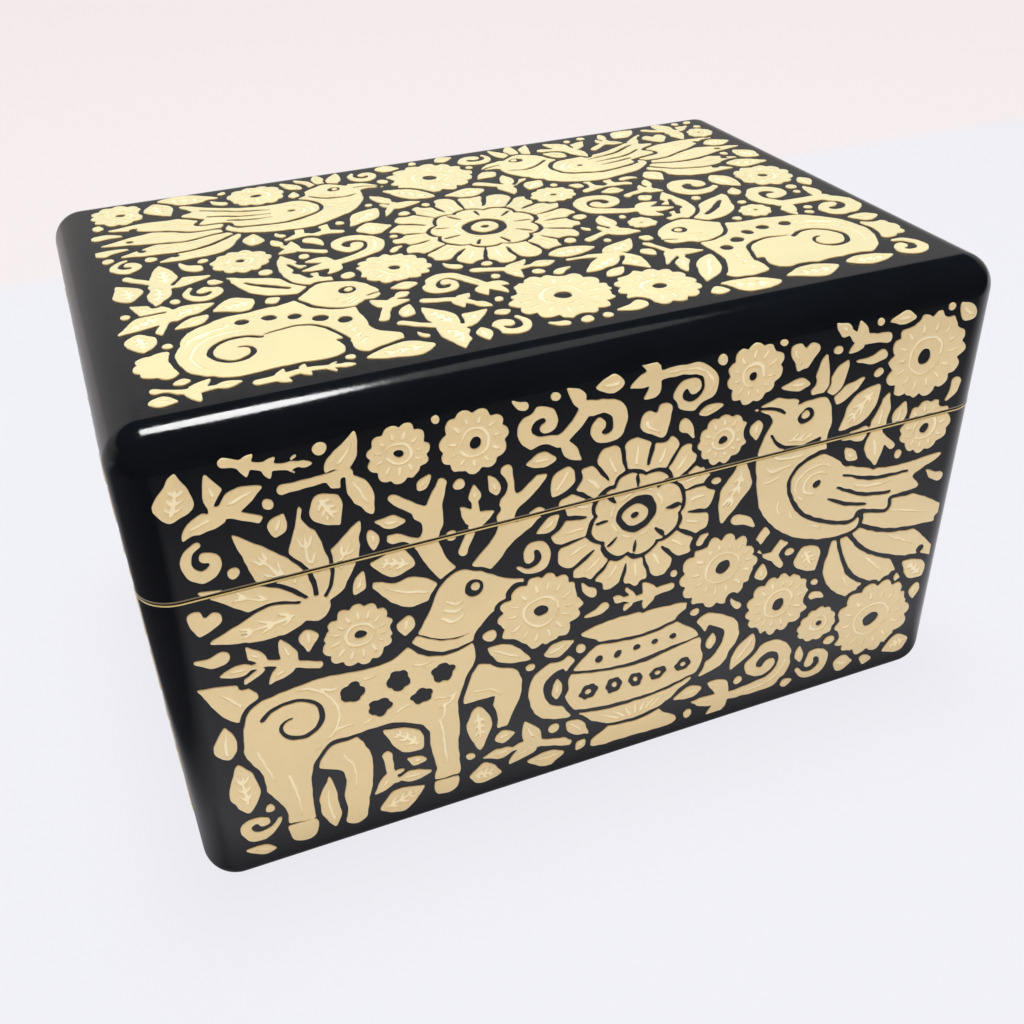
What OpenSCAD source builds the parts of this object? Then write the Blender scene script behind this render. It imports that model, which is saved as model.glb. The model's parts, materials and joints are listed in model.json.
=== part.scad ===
// Lacquered keepsake box with a hinged lid.
// Thin boards are lapped, glued and nailed into a body and a deep lid, and a continuous coat of
// black lacquer hides every joint. Two brass butt hinges sit in the back rim, where a bevel planed
// along both back edges stops the lid a little past upright.
// Millimetres. The origin is under the middle of the box, +Z is up and the front faces -Y.

/* [Overall size] */
// Width of the box over its lacquer
box_w = 150; // [110:1:240]
// Depth of the box over its lacquer, front to back
box_d = 104; // [80:1:180]
// Height of the seam between body and lid above the table
body_h = 63; // [45:0.5:120]
// Height of the lid above the seam
lid_h = 27.5; // [22:0.5:60]
// Rounding of every outer edge and corner
edge_r = 6; // [3:0.25:8]
// Gap between the closed lid and the body
seam_gap = 0.3; // [0.2:0.05:0.6]

/* [Boards and lacquer] */
// Thickness of the wall boards
wall_t = 7.2; // [6:0.1:12]
// Thickness of the top board
top_t = 7.2; // [5:0.1:12]
// Thickness of the bottom board
bottom_t = 7; // [5:0.1:12]
// How far the side boards lap into the front and back boards
lap = 3.6; // [2:0.1:5]
// Thickness of the lacquer coat
coat_t = 0.8; // [0.4:0.05:1.2]

/* [Hinges] */
// Distance of each hinge's middle from the end of the box
hinge_margin = 33; // [25:0.5:50]
// Length of a hinge along its pin
hinge_l = 24; // [20:0.5:32]
// Reach of a hinge leaf from the pin's axis
leaf_w = 6; // [5:0.1:7]
// Thickness of a hinge leaf
leaf_t = 0.9; // [0.7:0.05:1.2]
// Radius of the hinge's barrel
barrel_r = 1.6; // [1.3:0.05:2]
// Radius of the hinge pin
pin_r = 0.7; // [0.5:0.05:0.9]
// Depth of the pin's axis inside the back face
pin_inset = 1.7; // [1.4:0.05:2.4]
// Angle at which the back bevels stop the open lid
lid_stop = 105; // [95:1:120]

/* [Screws and brads] */
// Radius of a hinge screw's shank
screw_r = 0.75; // [0.6:0.05:1]
// Radius of a hinge screw's head
screw_head_r = 1.4; // [1.2:0.05:1.6]
// Length of a hinge screw
screw_l = 8; // [6:0.5:12]
// Distance of a hinge screw from the end of its leaf
screw_margin = 4.5; // [3:0.1:6]
// Radius of a brad's shank
brad_r = 0.6; // [0.4:0.05:0.8]
// Radius of a brad's head
brad_head_r = 0.9; // [0.7:0.05:1.2]
// Length of a brad
brad_l = 16; // [12:0.5:20]
// Depth of a brad's head below the face of the board
brad_set = 1; // [0.6:0.1:2]
// Distance of the outer brads from the end of the box
brad_margin = 30; // [22:0.5:40]

/* [Hidden] */
$fn = 64;

// Fits
pin_fit = 0.03;       // round the pin in its knuckles
knuckle_gap = 0.2;    // between neighbouring knuckles
barrel_fit = 0.15;    // round the barrel in its groove
leaf_fit = 0.1;       // at each end of a leaf in its mortise
nail_fit = 0.03;      // round a brad or a screw in the wood
overshoot = 1;        // how far a cutting shape runs past what it cuts

// Heights and half sizes of the carcass
box_h = body_h + lid_h;
body_rim = body_h - seam_gap / 2;
lid_rim = body_h + seam_gap / 2;
wood_x = box_w / 2 - coat_t;
wood_y = box_d / 2 - coat_t;
wood_top = box_h - coat_t;
wood_r = edge_r - coat_t;
room_x = wood_x - wall_t;
room_y = wood_y - wall_t;
ceiling = wood_top - top_t;

// Hinges
hinge_x = box_w / 2 - hinge_margin;
pin_y = box_d / 2 - pin_inset;
knuckle_l = hinge_l / 3;
bevel_angle = lid_stop / 2;
pin_head_r = pin_r + 0.35;
pin_head_t = 0.4;
screw_y = -(leaf_w + barrel_r) / 2;
screw_x = hinge_l / 2 - screw_margin;
screw_head_t = screw_head_r - screw_r;
screw_point = 2 * screw_r;
slot_w = 0.35;
slot_deep = 0.3;

// Brads
brad_head_t = 0.5;
brad_point = 2 * brad_r;
corner_x = wood_x - wall_t / 2;
wall_mid_y = wood_y - wall_t / 2;
brad_x = box_w / 2 - brad_margin;
brad_y = box_d / 2 - brad_margin;

// Colours
lacquer_black = "#15171d";
bare_wood = "#d9b48a";
hinge_brass = "#b8934a";
nail_steel = "#8b8d90";

// A quarter of the rounded outline of a block, from its axis outwards
module edge_profile(z0, z1, r) {
    translate([0, z0 + r]) square([r, z1 - z0 - 2 * r]);
    for (z = [z0 + r, z1 - r])
        intersection() {
            translate([0, z]) circle(r);
            translate([0, z0]) square([r, z1 - z0]);
        }
}

// A block centred on the Z axis with all its edges and corners rounded
module rounded_block(w, d, z0, z1, r) {
    flat_w = w - 2 * r;
    flat_d = d - 2 * r;
    translate([-flat_w / 2, -flat_d / 2, z0]) cube([flat_w, flat_d, z1 - z0]);
    for (turn = [0, 180]) rotate(turn) {
        translate([flat_w / 2, flat_d / 2, 0]) rotate([90, 0, 0])
            linear_extrude(flat_d) edge_profile(z0, z1, r);
        translate([-flat_w / 2, flat_d / 2, 0]) rotate([90, 0, 90])
            linear_extrude(flat_w) edge_profile(z0, z1, r);
        translate([flat_w / 2, flat_d / 2, 0])
            rotate_extrude(angle = 90) edge_profile(z0, z1, r);
        translate([-flat_w / 2, flat_d / 2, 0]) rotate(90)
            rotate_extrude(angle = 90) edge_profile(z0, z1, r);
    }
}

// The outside of the lacquer, and the outside of the wood under it
module outer_block() rounded_block(box_w, box_d, 0, box_h, edge_r);
module wood_block() rounded_block(2 * wood_x, 2 * wood_y, coat_t, wood_top, wood_r);

// Everything between two heights
module layer(z0, z1) {
    translate([-box_w, -box_d, z0]) cube([2 * box_w, 2 * box_d, z1 - z0]);
}

// A board: what lies between two corners of the carcass
module board(low, high) {
    intersection() {
        wood_block();
        translate(low) cube(high - low);
    }
}

// The long wall at the front, and the same at the back by a half turn, lapped at both ends
module long_wall(z0, z1) {
    difference() {
        board([-wood_x - overshoot, -wood_y - overshoot, z0], [wood_x + overshoot, -room_y, z1]);
        for (side = [-1, 1])
            translate([side * (room_x + box_w / 2) - box_w / 2, -room_y - lap, z0 - overshoot])
                cube([box_w, lap + overshoot, z1 - z0 + 2 * overshoot]);
    }
}

// The short wall on the right, and the same on the left by a half turn, between the laps
module short_wall(z0, z1) {
    board([room_x, -room_y - lap, z0], [wood_x + overshoot, room_y + lap, z1]);
}

// Moves a shape drawn for the body's rim to the lid's rim
module over_seam() {
    translate([0, 0, body_h]) mirror([0, 0, 1]) translate([0, 0, -body_h]) children();
}

// Places a shape drawn round the pin's axis at one hinge or at both
module at_hinges(sides = [-1, 1]) {
    for (side = sides) translate([side * hinge_x, pin_y, body_h]) children();
}

// A cylinder along X, centred on the origin
module bar(r, l) rotate([0, 90, 0]) cylinder(r = r, h = l, center = true);

// The bevel along the back edge of the body's rim
module back_bevel() {
    run = pin_inset + overshoot;
    translate([-box_w / 2 - overshoot, pin_y, body_rim]) rotate([90, 0, 90])
        linear_extrude(box_w + 2 * overshoot)
            polygon([[0, 0], [run, -run * tan(bevel_angle)], [run, overshoot], [0, overshoot]]);
}

// What the hinges take out of the body's rim: the bevel, a mortise for each leaf and a barrel groove
module rim_cut() {
    back_bevel();
    at_hinges() {
        bar(barrel_r + barrel_fit, hinge_l + 2 * (pin_head_t + barrel_fit));
        translate([-hinge_l / 2 - leaf_fit, -wall_t - coat_t, -seam_gap / 2 - leaf_t])
            cube([hinge_l + 2 * leaf_fit, wall_t + coat_t, leaf_t + overshoot]);
    }
}

// Corner joints: brads driven from the front or the back face into the ends of the side boards
module at_corner_brads(z0, z1, places) {
    for (turn = [0, 180], side = [-1, 1], place = places)
        rotate(turn) translate([side * corner_x, -wood_y + brad_set, z0 + place * (z1 - z0)])
            rotate([-90, 0, 0]) children();
}
module at_body_corner_brads() at_corner_brads(bottom_t, body_rim, [0.16, 0.5, 0.8]) children();
module at_lid_corner_brads() at_corner_brads(lid_rim, ceiling, [0.28, 0.66]) children();

// Places along the middle of the walls where the bottom and the top are nailed on
module at_wall_brads() {
    for (turn = [0, 180]) rotate(turn) {
        for (x = [-brad_x, 0, brad_x]) translate([x, -wall_mid_y, 0]) children();
        for (y = [-brad_y, brad_y]) translate([corner_x, y, 0]) children();
    }
}
module at_bottom_brads() at_wall_brads() translate([0, 0, coat_t + brad_set]) children();
module at_top_brads() at_wall_brads() translate([0, 0, wood_top - brad_set]) mirror([0, 0, 1]) children();

// A brad with its head at the origin, driven towards +Z
module brad(fit = 0) {
    cylinder(r = brad_head_r + fit, h = brad_head_t);
    cylinder(r = brad_r + fit, h = brad_l - brad_point);
    translate([0, 0, brad_l - brad_point]) cylinder(r1 = brad_r + fit, r2 = brad_r / 3, h = brad_point);
}

// Places a hinge screw's head on the faces of the body's leaves
module at_leaf_screws() {
    at_hinges() for (x = [-screw_x, screw_x])
        translate([x, screw_y, -seam_gap / 2]) mirror([0, 0, 1]) children();
}

// A countersunk screw with its head's face at the origin, driven towards +Z
module screw(fit = 0) {
    cylinder(r1 = screw_head_r + fit, r2 = screw_r + fit, h = screw_head_t);
    cylinder(r = screw_r + fit, h = screw_l - screw_point);
    translate([0, 0, screw_l - screw_point])
        cylinder(r1 = screw_r + fit, r2 = screw_r / 3, h = screw_point);
}

module slotted_screw() {
    difference() {
        screw();
        translate([-slot_w / 2, -screw_head_r, -overshoot]) cube([slot_w, 2 * screw_head_r, slot_deep + overshoot]);
    }
}

// A hinge leaf for the body's rim round the pin's axis. Knuckles are numbered along the pin from 0 to 2.
module hinge_leaf(knuckles) {
    difference() {
        union() {
            translate([-hinge_l / 2, -leaf_w, -seam_gap / 2 - leaf_t])
                cube([hinge_l, leaf_w - barrel_r - barrel_fit, leaf_t]);
            for (k = knuckles) translate([(k - 1) * knuckle_l, 0, 0]) {
                bar(barrel_r, knuckle_l - knuckle_gap);
                translate([-(knuckle_l - knuckle_gap) / 2, -leaf_w, -seam_gap / 2 - leaf_t])
                    cube([knuckle_l - knuckle_gap, leaf_w, leaf_t]);
            }
        }
        bar(pin_r + pin_fit, hinge_l + 2 * overshoot);
        for (x = [-screw_x, screw_x]) translate([x, screw_y, -seam_gap / 2]) mirror([0, 0, 1]) {
            translate([0, 0, -overshoot]) cylinder(r = screw_r + nail_fit, h = leaf_t + 2 * overshoot);
            cylinder(r1 = screw_head_r + nail_fit, r2 = screw_r + nail_fit, h = screw_head_t);
        }
    }
}
module body_leaf(side) color(hinge_brass) at_hinges([side]) hinge_leaf([0, 2]);
module lid_leaf(side) color(hinge_brass) over_seam() at_hinges([side]) hinge_leaf([1]);

// The pin, with an upset head at each end
module hinge_pin(side) {
    color(hinge_brass) at_hinges([side]) {
        bar(pin_r, hinge_l);
        for (end = [-1, 1]) translate([end * (hinge_l + pin_head_t) / 2, 0, 0]) bar(pin_head_r, pin_head_t);
    }
}

module body_front_panel() {
    color(bare_wood) difference() {
        long_wall(bottom_t, body_rim);
        at_body_corner_brads() brad(nail_fit);
        at_bottom_brads() brad(nail_fit);
    }
}

module body_back_panel() {
    color(bare_wood) difference() {
        rotate(180) long_wall(bottom_t, body_rim);
        rim_cut();
        at_leaf_screws() screw(nail_fit);
        at_body_corner_brads() brad(nail_fit);
        at_bottom_brads() brad(nail_fit);
    }
}

module body_side_panel(turn) {
    color(bare_wood) difference() {
        rotate(turn) short_wall(bottom_t, body_rim);
        at_body_corner_brads() brad(nail_fit);
        at_bottom_brads() brad(nail_fit);
    }
}
module body_left_panel() body_side_panel(180);
module body_right_panel() body_side_panel(0);

// The bottom board stands bare on the table inside the edge of the lacquer
module bottom_panel() {
    color(bare_wood) difference() {
        union() {
            board([-wood_x - overshoot, -wood_y - overshoot, 0], [wood_x + overshoot, wood_y + overshoot, bottom_t]);
            translate([-box_w / 2 + edge_r, -box_d / 2 + edge_r, 0])
                cube([box_w - 2 * edge_r, box_d - 2 * edge_r, bottom_t]);
        }
        at_bottom_brads() brad(nail_fit);
    }
}

module lid_front_panel() {
    color(bare_wood) difference() {
        long_wall(lid_rim, ceiling);
        at_lid_corner_brads() brad(nail_fit);
        at_top_brads() brad(nail_fit);
    }
}

module lid_back_panel() {
    color(bare_wood) difference() {
        rotate(180) long_wall(lid_rim, ceiling);
        over_seam() {
            rim_cut();
            at_leaf_screws() screw(nail_fit);
        }
        at_lid_corner_brads() brad(nail_fit);
        at_top_brads() brad(nail_fit);
    }
}

module lid_side_panel(turn) {
    color(bare_wood) difference() {
        rotate(turn) short_wall(lid_rim, ceiling);
        at_lid_corner_brads() brad(nail_fit);
        at_top_brads() brad(nail_fit);
    }
}
module lid_left_panel() lid_side_panel(180);
module lid_right_panel() lid_side_panel(0);

module top_panel() {
    color(bare_wood) difference() {
        board([-wood_x - overshoot, -wood_y - overshoot, ceiling], [wood_x + overshoot, wood_y + overshoot, wood_top]);
        at_top_brads() brad(nail_fit);
    }
}

// The lacquer runs over every joint of the body and round its lower edge, up to the bare bottom
module body_lacquer_coat() {
    color(lacquer_black) difference() {
        intersection() {
            outer_block();
            layer(0, body_rim);
        }
        wood_block();
        translate([-box_w / 2 + edge_r, -box_d / 2 + edge_r, -overshoot])
            cube([box_w - 2 * edge_r, box_d - 2 * edge_r, edge_r + overshoot]);
        rim_cut();
    }
}

module lid_lacquer_coat() {
    color(lacquer_black) difference() {
        intersection() {
            outer_block();
            layer(lid_rim, box_h);
        }
        wood_block();
        over_seam() rim_cut();
    }
}

module left_hinge_body_leaf() body_leaf(-1);
module right_hinge_body_leaf() body_leaf(1);
module left_hinge_lid_leaf() lid_leaf(-1);
module right_hinge_lid_leaf() lid_leaf(1);
module left_hinge_pin() hinge_pin(-1);
module right_hinge_pin() hinge_pin(1);
module body_leaf_screws() color(hinge_brass) at_leaf_screws() slotted_screw();
module lid_leaf_screws() color(hinge_brass) over_seam() at_leaf_screws() slotted_screw();
module body_corner_brads() color(nail_steel) at_body_corner_brads() brad();
module lid_corner_brads() color(nail_steel) at_lid_corner_brads() brad();
module bottom_panel_brads() color(nail_steel) at_bottom_brads() brad();
module top_panel_brads() color(nail_steel) at_top_brads() brad();

body_front_panel();
body_back_panel();
body_left_panel();
body_right_panel();
bottom_panel();
lid_front_panel();
lid_back_panel();
lid_left_panel();
lid_right_panel();
top_panel();
body_lacquer_coat();
lid_lacquer_coat();
left_hinge_body_leaf();
right_hinge_body_leaf();
left_hinge_lid_leaf();
right_hinge_lid_leaf();
left_hinge_pin();
right_hinge_pin();
body_leaf_screws();
lid_leaf_screws();
body_corner_brads();
lid_corner_brads();
bottom_panel_brads();
top_panel_brads();
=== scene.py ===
"""Looks of a lacquered keepsake box: black lacquer with raised gold, bare boards and brass hinges."""

import json
import math

import bmesh
import bpy
import numpy as np
from mathutils import Matrix, Vector


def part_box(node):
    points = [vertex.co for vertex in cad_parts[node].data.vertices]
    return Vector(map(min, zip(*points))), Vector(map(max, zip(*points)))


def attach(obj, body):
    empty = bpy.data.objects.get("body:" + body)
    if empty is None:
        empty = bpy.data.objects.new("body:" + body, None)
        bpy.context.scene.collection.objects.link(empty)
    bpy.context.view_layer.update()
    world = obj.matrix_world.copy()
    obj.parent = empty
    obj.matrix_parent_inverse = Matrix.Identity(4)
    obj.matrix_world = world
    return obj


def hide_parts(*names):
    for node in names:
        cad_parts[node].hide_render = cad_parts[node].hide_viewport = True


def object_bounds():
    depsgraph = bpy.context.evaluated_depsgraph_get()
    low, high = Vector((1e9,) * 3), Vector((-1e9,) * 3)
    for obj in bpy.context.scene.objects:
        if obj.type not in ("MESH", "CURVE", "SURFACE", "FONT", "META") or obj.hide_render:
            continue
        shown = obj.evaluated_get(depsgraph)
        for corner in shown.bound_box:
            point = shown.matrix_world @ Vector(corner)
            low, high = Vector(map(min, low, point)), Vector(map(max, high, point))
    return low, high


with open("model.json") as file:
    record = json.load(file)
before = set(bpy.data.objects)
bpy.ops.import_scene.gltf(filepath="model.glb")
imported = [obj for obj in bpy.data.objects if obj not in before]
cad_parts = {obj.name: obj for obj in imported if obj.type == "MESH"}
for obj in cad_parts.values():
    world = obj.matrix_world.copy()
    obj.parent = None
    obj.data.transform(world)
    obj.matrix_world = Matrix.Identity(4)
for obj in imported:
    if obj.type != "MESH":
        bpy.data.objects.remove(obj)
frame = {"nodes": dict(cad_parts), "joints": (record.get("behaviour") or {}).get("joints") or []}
cad_low, cad_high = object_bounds()

bl_info = {
    "name": "Lacquered keepsake box",
    "version": (1, 0, 0),
    "blender": (4, 5, 0),
    "location": "View3D > Sidebar > Box",
    "description": "Dresses the box with lacquer, gold ornament, bare boards, brass and a stage",
    "category": "Object",
}

# Lengths of the frame, in millimetres
MM = 0.001
WIDTH, DEPTH, HEIGHT = (side / MM for side in cad_high - cad_low)
BODY_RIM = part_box("body_front_panel")[1][2] / MM
LID_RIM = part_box("lid_front_panel")[0][2] / MM
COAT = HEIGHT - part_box("top_panel")[1][2] / MM
PIN = [length / MM for length in frame["joints"][0]["pos_m"]]
LID_STOP = frame["joints"][0]["range_deg"][1]

# Lengths of the ornament's drawing, in millimetres
GRID = 0.2
FAR = 8.5
GAP = 1.2
FINE_GAP = 0.95
GAP_SPARE = 0.5
LINE_INSET = 0.5
FIELD_LIMIT = 1.2
OUTLINE_TOLERANCE = 0.02
DOT_LENGTH = 0.001

# Amount and length of the waver of a hand, in millimetres, and how many waves make it up
SLOW_WAVER, QUICK_WAVER = (0.3, 9), (0.08, 2.5)
WAVES = 6

# The smallest patch in square millimetres, steps of the fine grid in a coarse one, points measured at once
SMALLEST_LOOP = 0.12
COARSE = 3
BLOCK = 200000
TINY = 1e-9
TURN = 2 * math.pi

# Shares of a gap that are free at the drawing's edge and that count as too tight, and how much may be tight
EDGE_SHARE, TIGHT_SHARE, LOST_SHARE = 0.3, 0.85, 0.03

# Sizes in millimetres from which a flower, a heart and a leaf get their finer lines
LINED_FLOWER, LINED_HEART, VEINED_LEAF = 4.5, 3, 4.2

# How a gap is explored: how far, by which step, along how many ways, and the share of its radius to keep free
LOOK_FAR, LOOK_STEP, LOOK_WAYS, LOOK_SHARE = 9.0, 0.5, 12, 0.25

# Free radii in millimetres from which each filling is tried, and the shortest length for a twig
SCROLL_ROOM, CURL_ROOM, TWIG_ROOM, TWIG_LENGTH = 3.0, 3.2, 2.0, 11
FLOWER_ROOM, SMALL_FLOWER_ROOM, DROP_ROOM, LEAF_ROOM = 4.2, 2.1, 1.2, 0.85


def linear(colour):
    """Turns an sRGB hex colour to linear red, green, blue and one."""
    parts = [int(colour[k:k + 2], 16) / 255 for k in (1, 3, 5)]
    return [p / 12.92 if p <= 0.04045 else ((p + 0.055) / 1.055) ** 2.4 for p in parts] + [1.0]


def length_property(name, description, default):
    """A length in millimetres, kept in metres."""
    return bpy.props.FloatProperty(name=name, description=description, default=default * MM, min=0.0,
                                   precision=5, unit="LENGTH", subtype="DISTANCE")


def colour_property(name, description, default):
    """A colour given as sRGB hex."""
    return bpy.props.FloatVectorProperty(name=name, description=description, default=linear(default),
                                         size=4, min=0.0, max=1.0, subtype="COLOR")


class BoxSizes(bpy.types.PropertyGroup):
    """Sizes of the lacquer work."""
    edge: length_property("Edge rounding", "Radius of every outer edge", 6.0)
    relief: length_property("Relief", "Height of the gold above the black", 0.26)
    scribe: length_property("Scribed line height", "Height of a scribed line's floor above the black", 0.12)
    sunk: length_property("Gold foot", "How far the gold reaches into the black coat", 0.12)
    rim_line: length_property("Rim line", "Height of the worn line along a rim", 0.26)
    rim_proud: length_property("Rim line proud", "How far a rim line stands out of the black coat", 0.03)
    edge_steps: bpy.props.IntProperty(name="Edge steps", description="Facets across a rounded edge",
                                      default=16, min=4, max=40)


class BoxColours(bpy.types.PropertyGroup):
    """Colours of the finishes."""
    black: colour_property("Black lacquer", "The ground of the ornament", "#0B0C10")
    gold: colour_property("Gold lacquer", "The raised ornament", "#DDC08B")
    # The scribed gold is paler than the gold: a painted highlight for the light caught in the scribed grooves
    pale_gold_highlight: colour_property("Scribed gold", "The floor of the scribed lines", "#F2DEB4")
    body_rim: colour_property("Body rim", "The line along the body's rim", "#CDB06A")
    # The lid's rim line is darker than the body's: painted shade under the lid's edge
    lid_rim_shaded: colour_property("Lid rim", "The line along the lid's rim", "#6E5A34")
    wood: colour_property("Bare wood", "The boards inside and below", "#D6B083")
    brass: colour_property("Hinge brass", "Hinges, pins and screws", "#C7A45C")
    steel: colour_property("Brad steel", "Heads of the brads", "#8B8C8E")
    floor: colour_property("Floor", "The sheet that the box stands on", "#EFEEF4")
    far_floor: colour_property("Far floor", "The floor behind the sheet", "#F5ECED")


# Drawing: shapes in millimetres on one face, as distances to their edges
def spline(points, closed=True, steps=7):
    """A smooth curve through the points, as many points."""
    p = np.array(points, float)
    if closed:
        a, b, c, d = np.roll(p, 1, 0), p, np.roll(p, -1, 0), np.roll(p, -2, 0)
    else:
        ends = np.vstack([2 * p[0] - p[1], p, 2 * p[-1] - p[-2]])
        a, b, c, d = ends[:-3], ends[1:-2], ends[2:-1], ends[3:]
    t = (np.arange(steps) / steps)[None, :, None]
    a, b, c, d = (x[:, None, :] for x in (a, b, c, d))
    curve = 0.5 * (2 * b + (c - a) * t + (2 * a - 5 * b + 4 * c - d) * t ** 2
                   + (3 * b - a - 3 * c + d) * t ** 3)
    curve = curve.reshape(-1, p.shape[1])
    return curve if closed else np.vstack([curve, p[-1]])


def area(points):
    """A closed shape with a smooth outline."""
    return ("area", spline(points))


def sharp(points):
    """A closed shape with straight sides."""
    return ("area", np.array(points, float))


def limb(points, radii, steps=6):
    """A round-ended stroke along a smooth line, whose radius changes along it."""
    radii = np.interp(np.linspace(0, 1, len(points)), np.linspace(0, 1, len(radii)), radii)
    return ("limb", spline(np.column_stack([points, radii]), False, steps))


def disc(x, y, r):
    """A round dot."""
    return ("limb", np.array([[x, y, r], [x + DOT_LENGTH, y, r]]))


def bloom(x, y, r, petals, notch, turn=0.0):
    """A flower head with a scalloped rim."""
    return ("bloom", np.array([[x, y, r]]), petals, notch, turn)


def across(start, end):
    """The way from one point to another, and the way square to it, one long."""
    start, end = np.array(start, float), np.array(end, float)
    along = end - start
    return start, along, np.array([-along[1], along[0]]) / np.hypot(*along)


def leaf(start, end, width, bend=0.0):
    """A pointed leaf from its stalk to its tip."""
    start, along, square = across(start, end)
    rows = [(0.0, 0.14), (0.12, 0.55), (0.34, 1.0), (0.6, 0.86), (0.84, 0.4), (1.0, 0.05)]
    middle = [start + t * along + square * bend * 4 * t * (1 - t) for t, _ in rows]
    left = [m + square * width / 2 * w for m, (_, w) in zip(middle, rows)]
    right = [m - square * width / 2 * w for m, (_, w) in zip(middle, rows)]
    return ("area", spline(left + right[::-1], True, 5))


def rib(start, end, bend=0.0, first=0.15, last=0.8):
    """The line along the middle of a leaf."""
    start, along, square = across(start, end)
    return [start + s * along + square * bend * 4 * s * (1 - s) for s in np.linspace(first, last, 5)]


def moved(shape, x, y, size=1.0, turn=0.0, flip=1):
    """A shape drawn round the origin, sized, mirrored, turned and put at a place."""
    kind, points, *rest = shape
    points = points * size
    points[:, 0] *= flip
    c, s = math.cos(turn), math.sin(turn)
    out = points.copy()
    out[:, 0] = x + c * points[:, 0] - s * points[:, 1]
    out[:, 1] = y + s * points[:, 0] + c * points[:, 1]
    if kind == "bloom":
        rest = [rest[0], rest[1] * size, rest[2] + turn]
    return (kind, out, *rest)


def distance(shape, u, v):
    """Signed distance from each grid point to the shape's edge, negative inside."""
    kind, points = shape[:2]
    if kind == "bloom":
        petals, notch, turn = shape[2:]
        x, y, r = points[0]
        angle = np.arctan2(v - y, u - x) - turn
        return np.hypot(u - x, v - y) - r + notch * (1 - np.sqrt(np.abs(np.cos(petals * angle / 2))))
    points = points.astype(np.float32)
    ends = np.roll(points, -1, 0)
    if kind == "limb":
        points, ends = points[:-1], ends[:-1]
    best = np.full(u.shape, np.inf, np.float32)
    inside = np.zeros(u.shape, bool)
    block = max(1, BLOCK // max(u.size, 1))
    for first in range(0, len(points), block):
        a, b = (p[first:first + block, :, None, None] for p in (points, ends))
        du, dv = b[:, 0] - a[:, 0], b[:, 1] - a[:, 1]
        pu, pv = u - a[:, 0], v - a[:, 1]
        t = np.clip((pu * du + pv * dv) / np.maximum(du * du + dv * dv, TINY), 0, 1)
        far = np.sqrt((pu - t * du) ** 2 + (pv - t * dv) ** 2)
        if kind == "limb":
            far = far - a[:, 2] - t * (b[:, 2] - a[:, 2])
        else:
            level = np.where(dv == 0, TINY, dv)
            crossed = ((a[:, 1] > v) != (b[:, 1] > v)) & (pu < du * pv / level)
            inside ^= np.logical_xor.reduce(crossed, axis=0)
        best = np.minimum(best, far.min(axis=0))
    if kind == "limb":
        return best
    return np.where(inside, -best, best)


def blurred(field, passes):
    """A field with its corners rounded."""
    for _ in range(passes):
        padded = np.pad(field, 1, mode="edge")
        field = (padded[:-2, 1:-1] + padded[2:, 1:-1] + 2 * padded[1:-1, 1:-1]) / 4
        padded = np.pad(field, 1, mode="edge")
        field = (padded[1:-1, :-2] + padded[1:-1, 2:] + 2 * padded[1:-1, 1:-1]) / 4
    return field


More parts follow.
